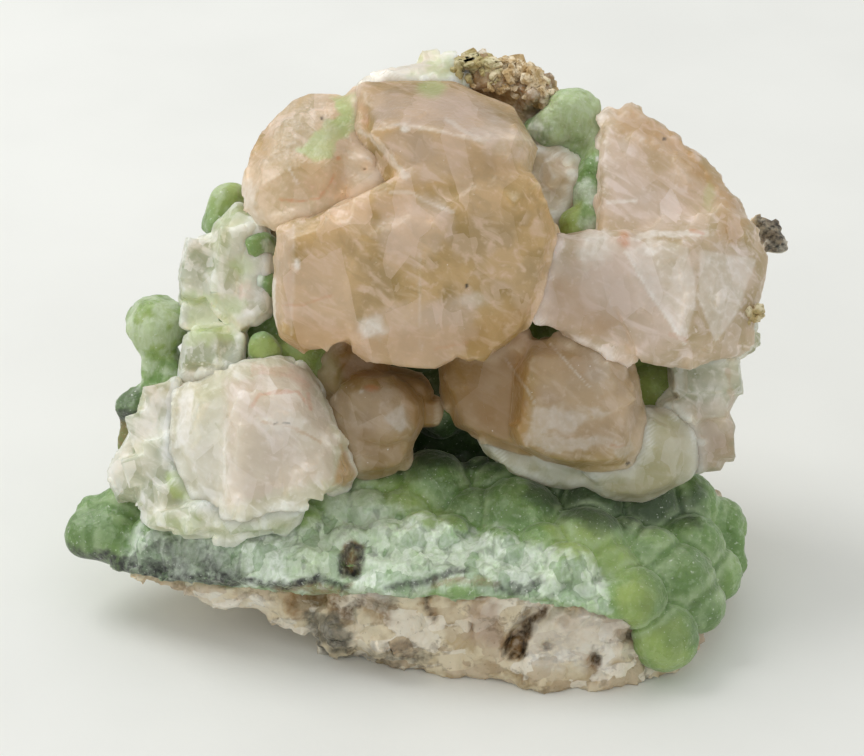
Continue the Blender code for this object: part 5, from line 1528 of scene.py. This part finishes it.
# %% Every piece gets its stone
peach = calcite("peach_calcite", "#c2a270", "#a08652", "#e0c4ac", "#efdcc0", 7.0)
blush = calcite("blush_calcite", "#ccb79f", "#ad9972", "#ecded6", "#f0e6dc", 7.0)
honey = calcite("honey_calcite", "#c4a97a", "#a0864e", "#e4d0b8", "#ecdcc0", 7.0, glow=0.08)
pale = calcite("pale_calcite", "#d6d1ba", "#bdb79a", "#f1eee6", "#efeee2", 6.0, 4.5, 0.35, 0.07)
glassy = calcite("glassy_calcite", "#cbccb6", "#9fa688", "#f4f3ee", "#e2e3d4", 5.0, 2.8, 0.55, 0.03)
STONES = (
    (peach, (centre, upper_left)), (blush, (right,)), (honey, (egg, small)),
    (pale, (pale_lobe, white_block, groove, top)), (glassy, (left_lumps, left_stack, right_stack)),
    (prehnite("prehnite_green"), (crust, knobs)), (carbonate("carbonate_rock"), (rock,)),
    (gossan("gossan_rubble"), (rubble, rubble_bed, chip)))
for stone, skins in STONES:
    for skin in skins:
        skin.piece.data.materials.clear()
        skin.piece.data.materials.append(stone)
    print(stone.name, "on", len(skins), "pieces")

# %% [markdown]
# ## The stage
#
# The specimen stands on a pale painted board in soft daylight from above and a little behind, so
# the tops are bright, the fronts are a step darker and the shadow falls forwards. The world is
# brighter overhead than at the horizon, and one large round lamp gives the light its direction.

# %% Floor
FLOOR = 3.0                             # m from the middle to a side
FLOOR_CORNERS = FLOOR * np.array([(-1, -1, 0), (1, -1, 0), (1, 1, 0), (-1, 1, 0)])
floor_mesh = new_mesh("floor", FLOOR_CORNERS, [(0, 1, 2, 3)])
floor = link_piece("floor", floor_mesh)
floor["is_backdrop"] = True
board, board_tree, board_shader, board_where = new_material("painted_board")
tone = ramp(board_tree, clouds(board_tree, board_where, 60.0), 0.3, 0.7)
board_colour = paint(board_tree, "#e9eae5", ((tone, "#eeefea"),))
board_tree.links.new(board_colour, board_shader.inputs["Base Color"])
board_shader.inputs["Roughness"].default_value = 0.55
bumps(board_tree, board_shader, (clouds(board_tree, board_where, 1.5), 0.03))
floor_mesh.materials.append(board)

# %% Sky and lamp
SKY_STRENGTH, LAMP_POWER, LAMP_SIZE = 0.78, 2.2, 0.45
LAMP_PLACE, LAMP_AIM = Vector((-0.40, 0.18, 0.66)), Vector((0.0, 0.0, 0.04))
world = bpy.data.worlds.new("studio")
bpy.context.scene.world = world
world.use_nodes = True
sky = world.node_tree
height = add(sky, "SeparateXYZ", {0: add(sky, "TexCoord", output="Generated")}, "Z")
sky_colour = paint(sky, "#e6e7e6", ((ramp(sky, height, -0.1, 0.9), "#ffffff"),))
background = sky.nodes["Background"]
sky.links.new(sky_colour, background.inputs["Color"])
background.inputs["Strength"].default_value = SKY_STRENGTH

lamp_data = bpy.data.lights.new("overhead", "AREA")
lamp_data.shape = "DISK"
lamp_data.size = LAMP_SIZE
lamp_data.energy = LAMP_POWER
lamp = link_piece("overhead", lamp_data)
lamp.location = LAMP_PLACE
lamp.rotation_euler = (LAMP_AIM - LAMP_PLACE).to_track_quat("-Z", "Y").to_euler()

# %% Camera
LENS, SENSOR = 150.0, 36.0              # mm
camera_data = bpy.data.cameras.new("camera")
camera_data.lens = LENS
camera_data.sensor_width = SENSOR
camera_data.clip_start, camera_data.clip_end = 0.01, 20.0
camera = link_piece("camera", camera_data)
camera.location = placed(AIM[0], AIM[1], AIM[2] + VIEW_DISTANCE)
camera.rotation_euler = (math.pi / 2 - VIEW_TILT, 0.0, 0.0)
bpy.context.scene.camera = camera
bpy.context.scene.view_settings.view_transform = "Standard"
print("camera at", tuple(round(v, 5) for v in camera.location))
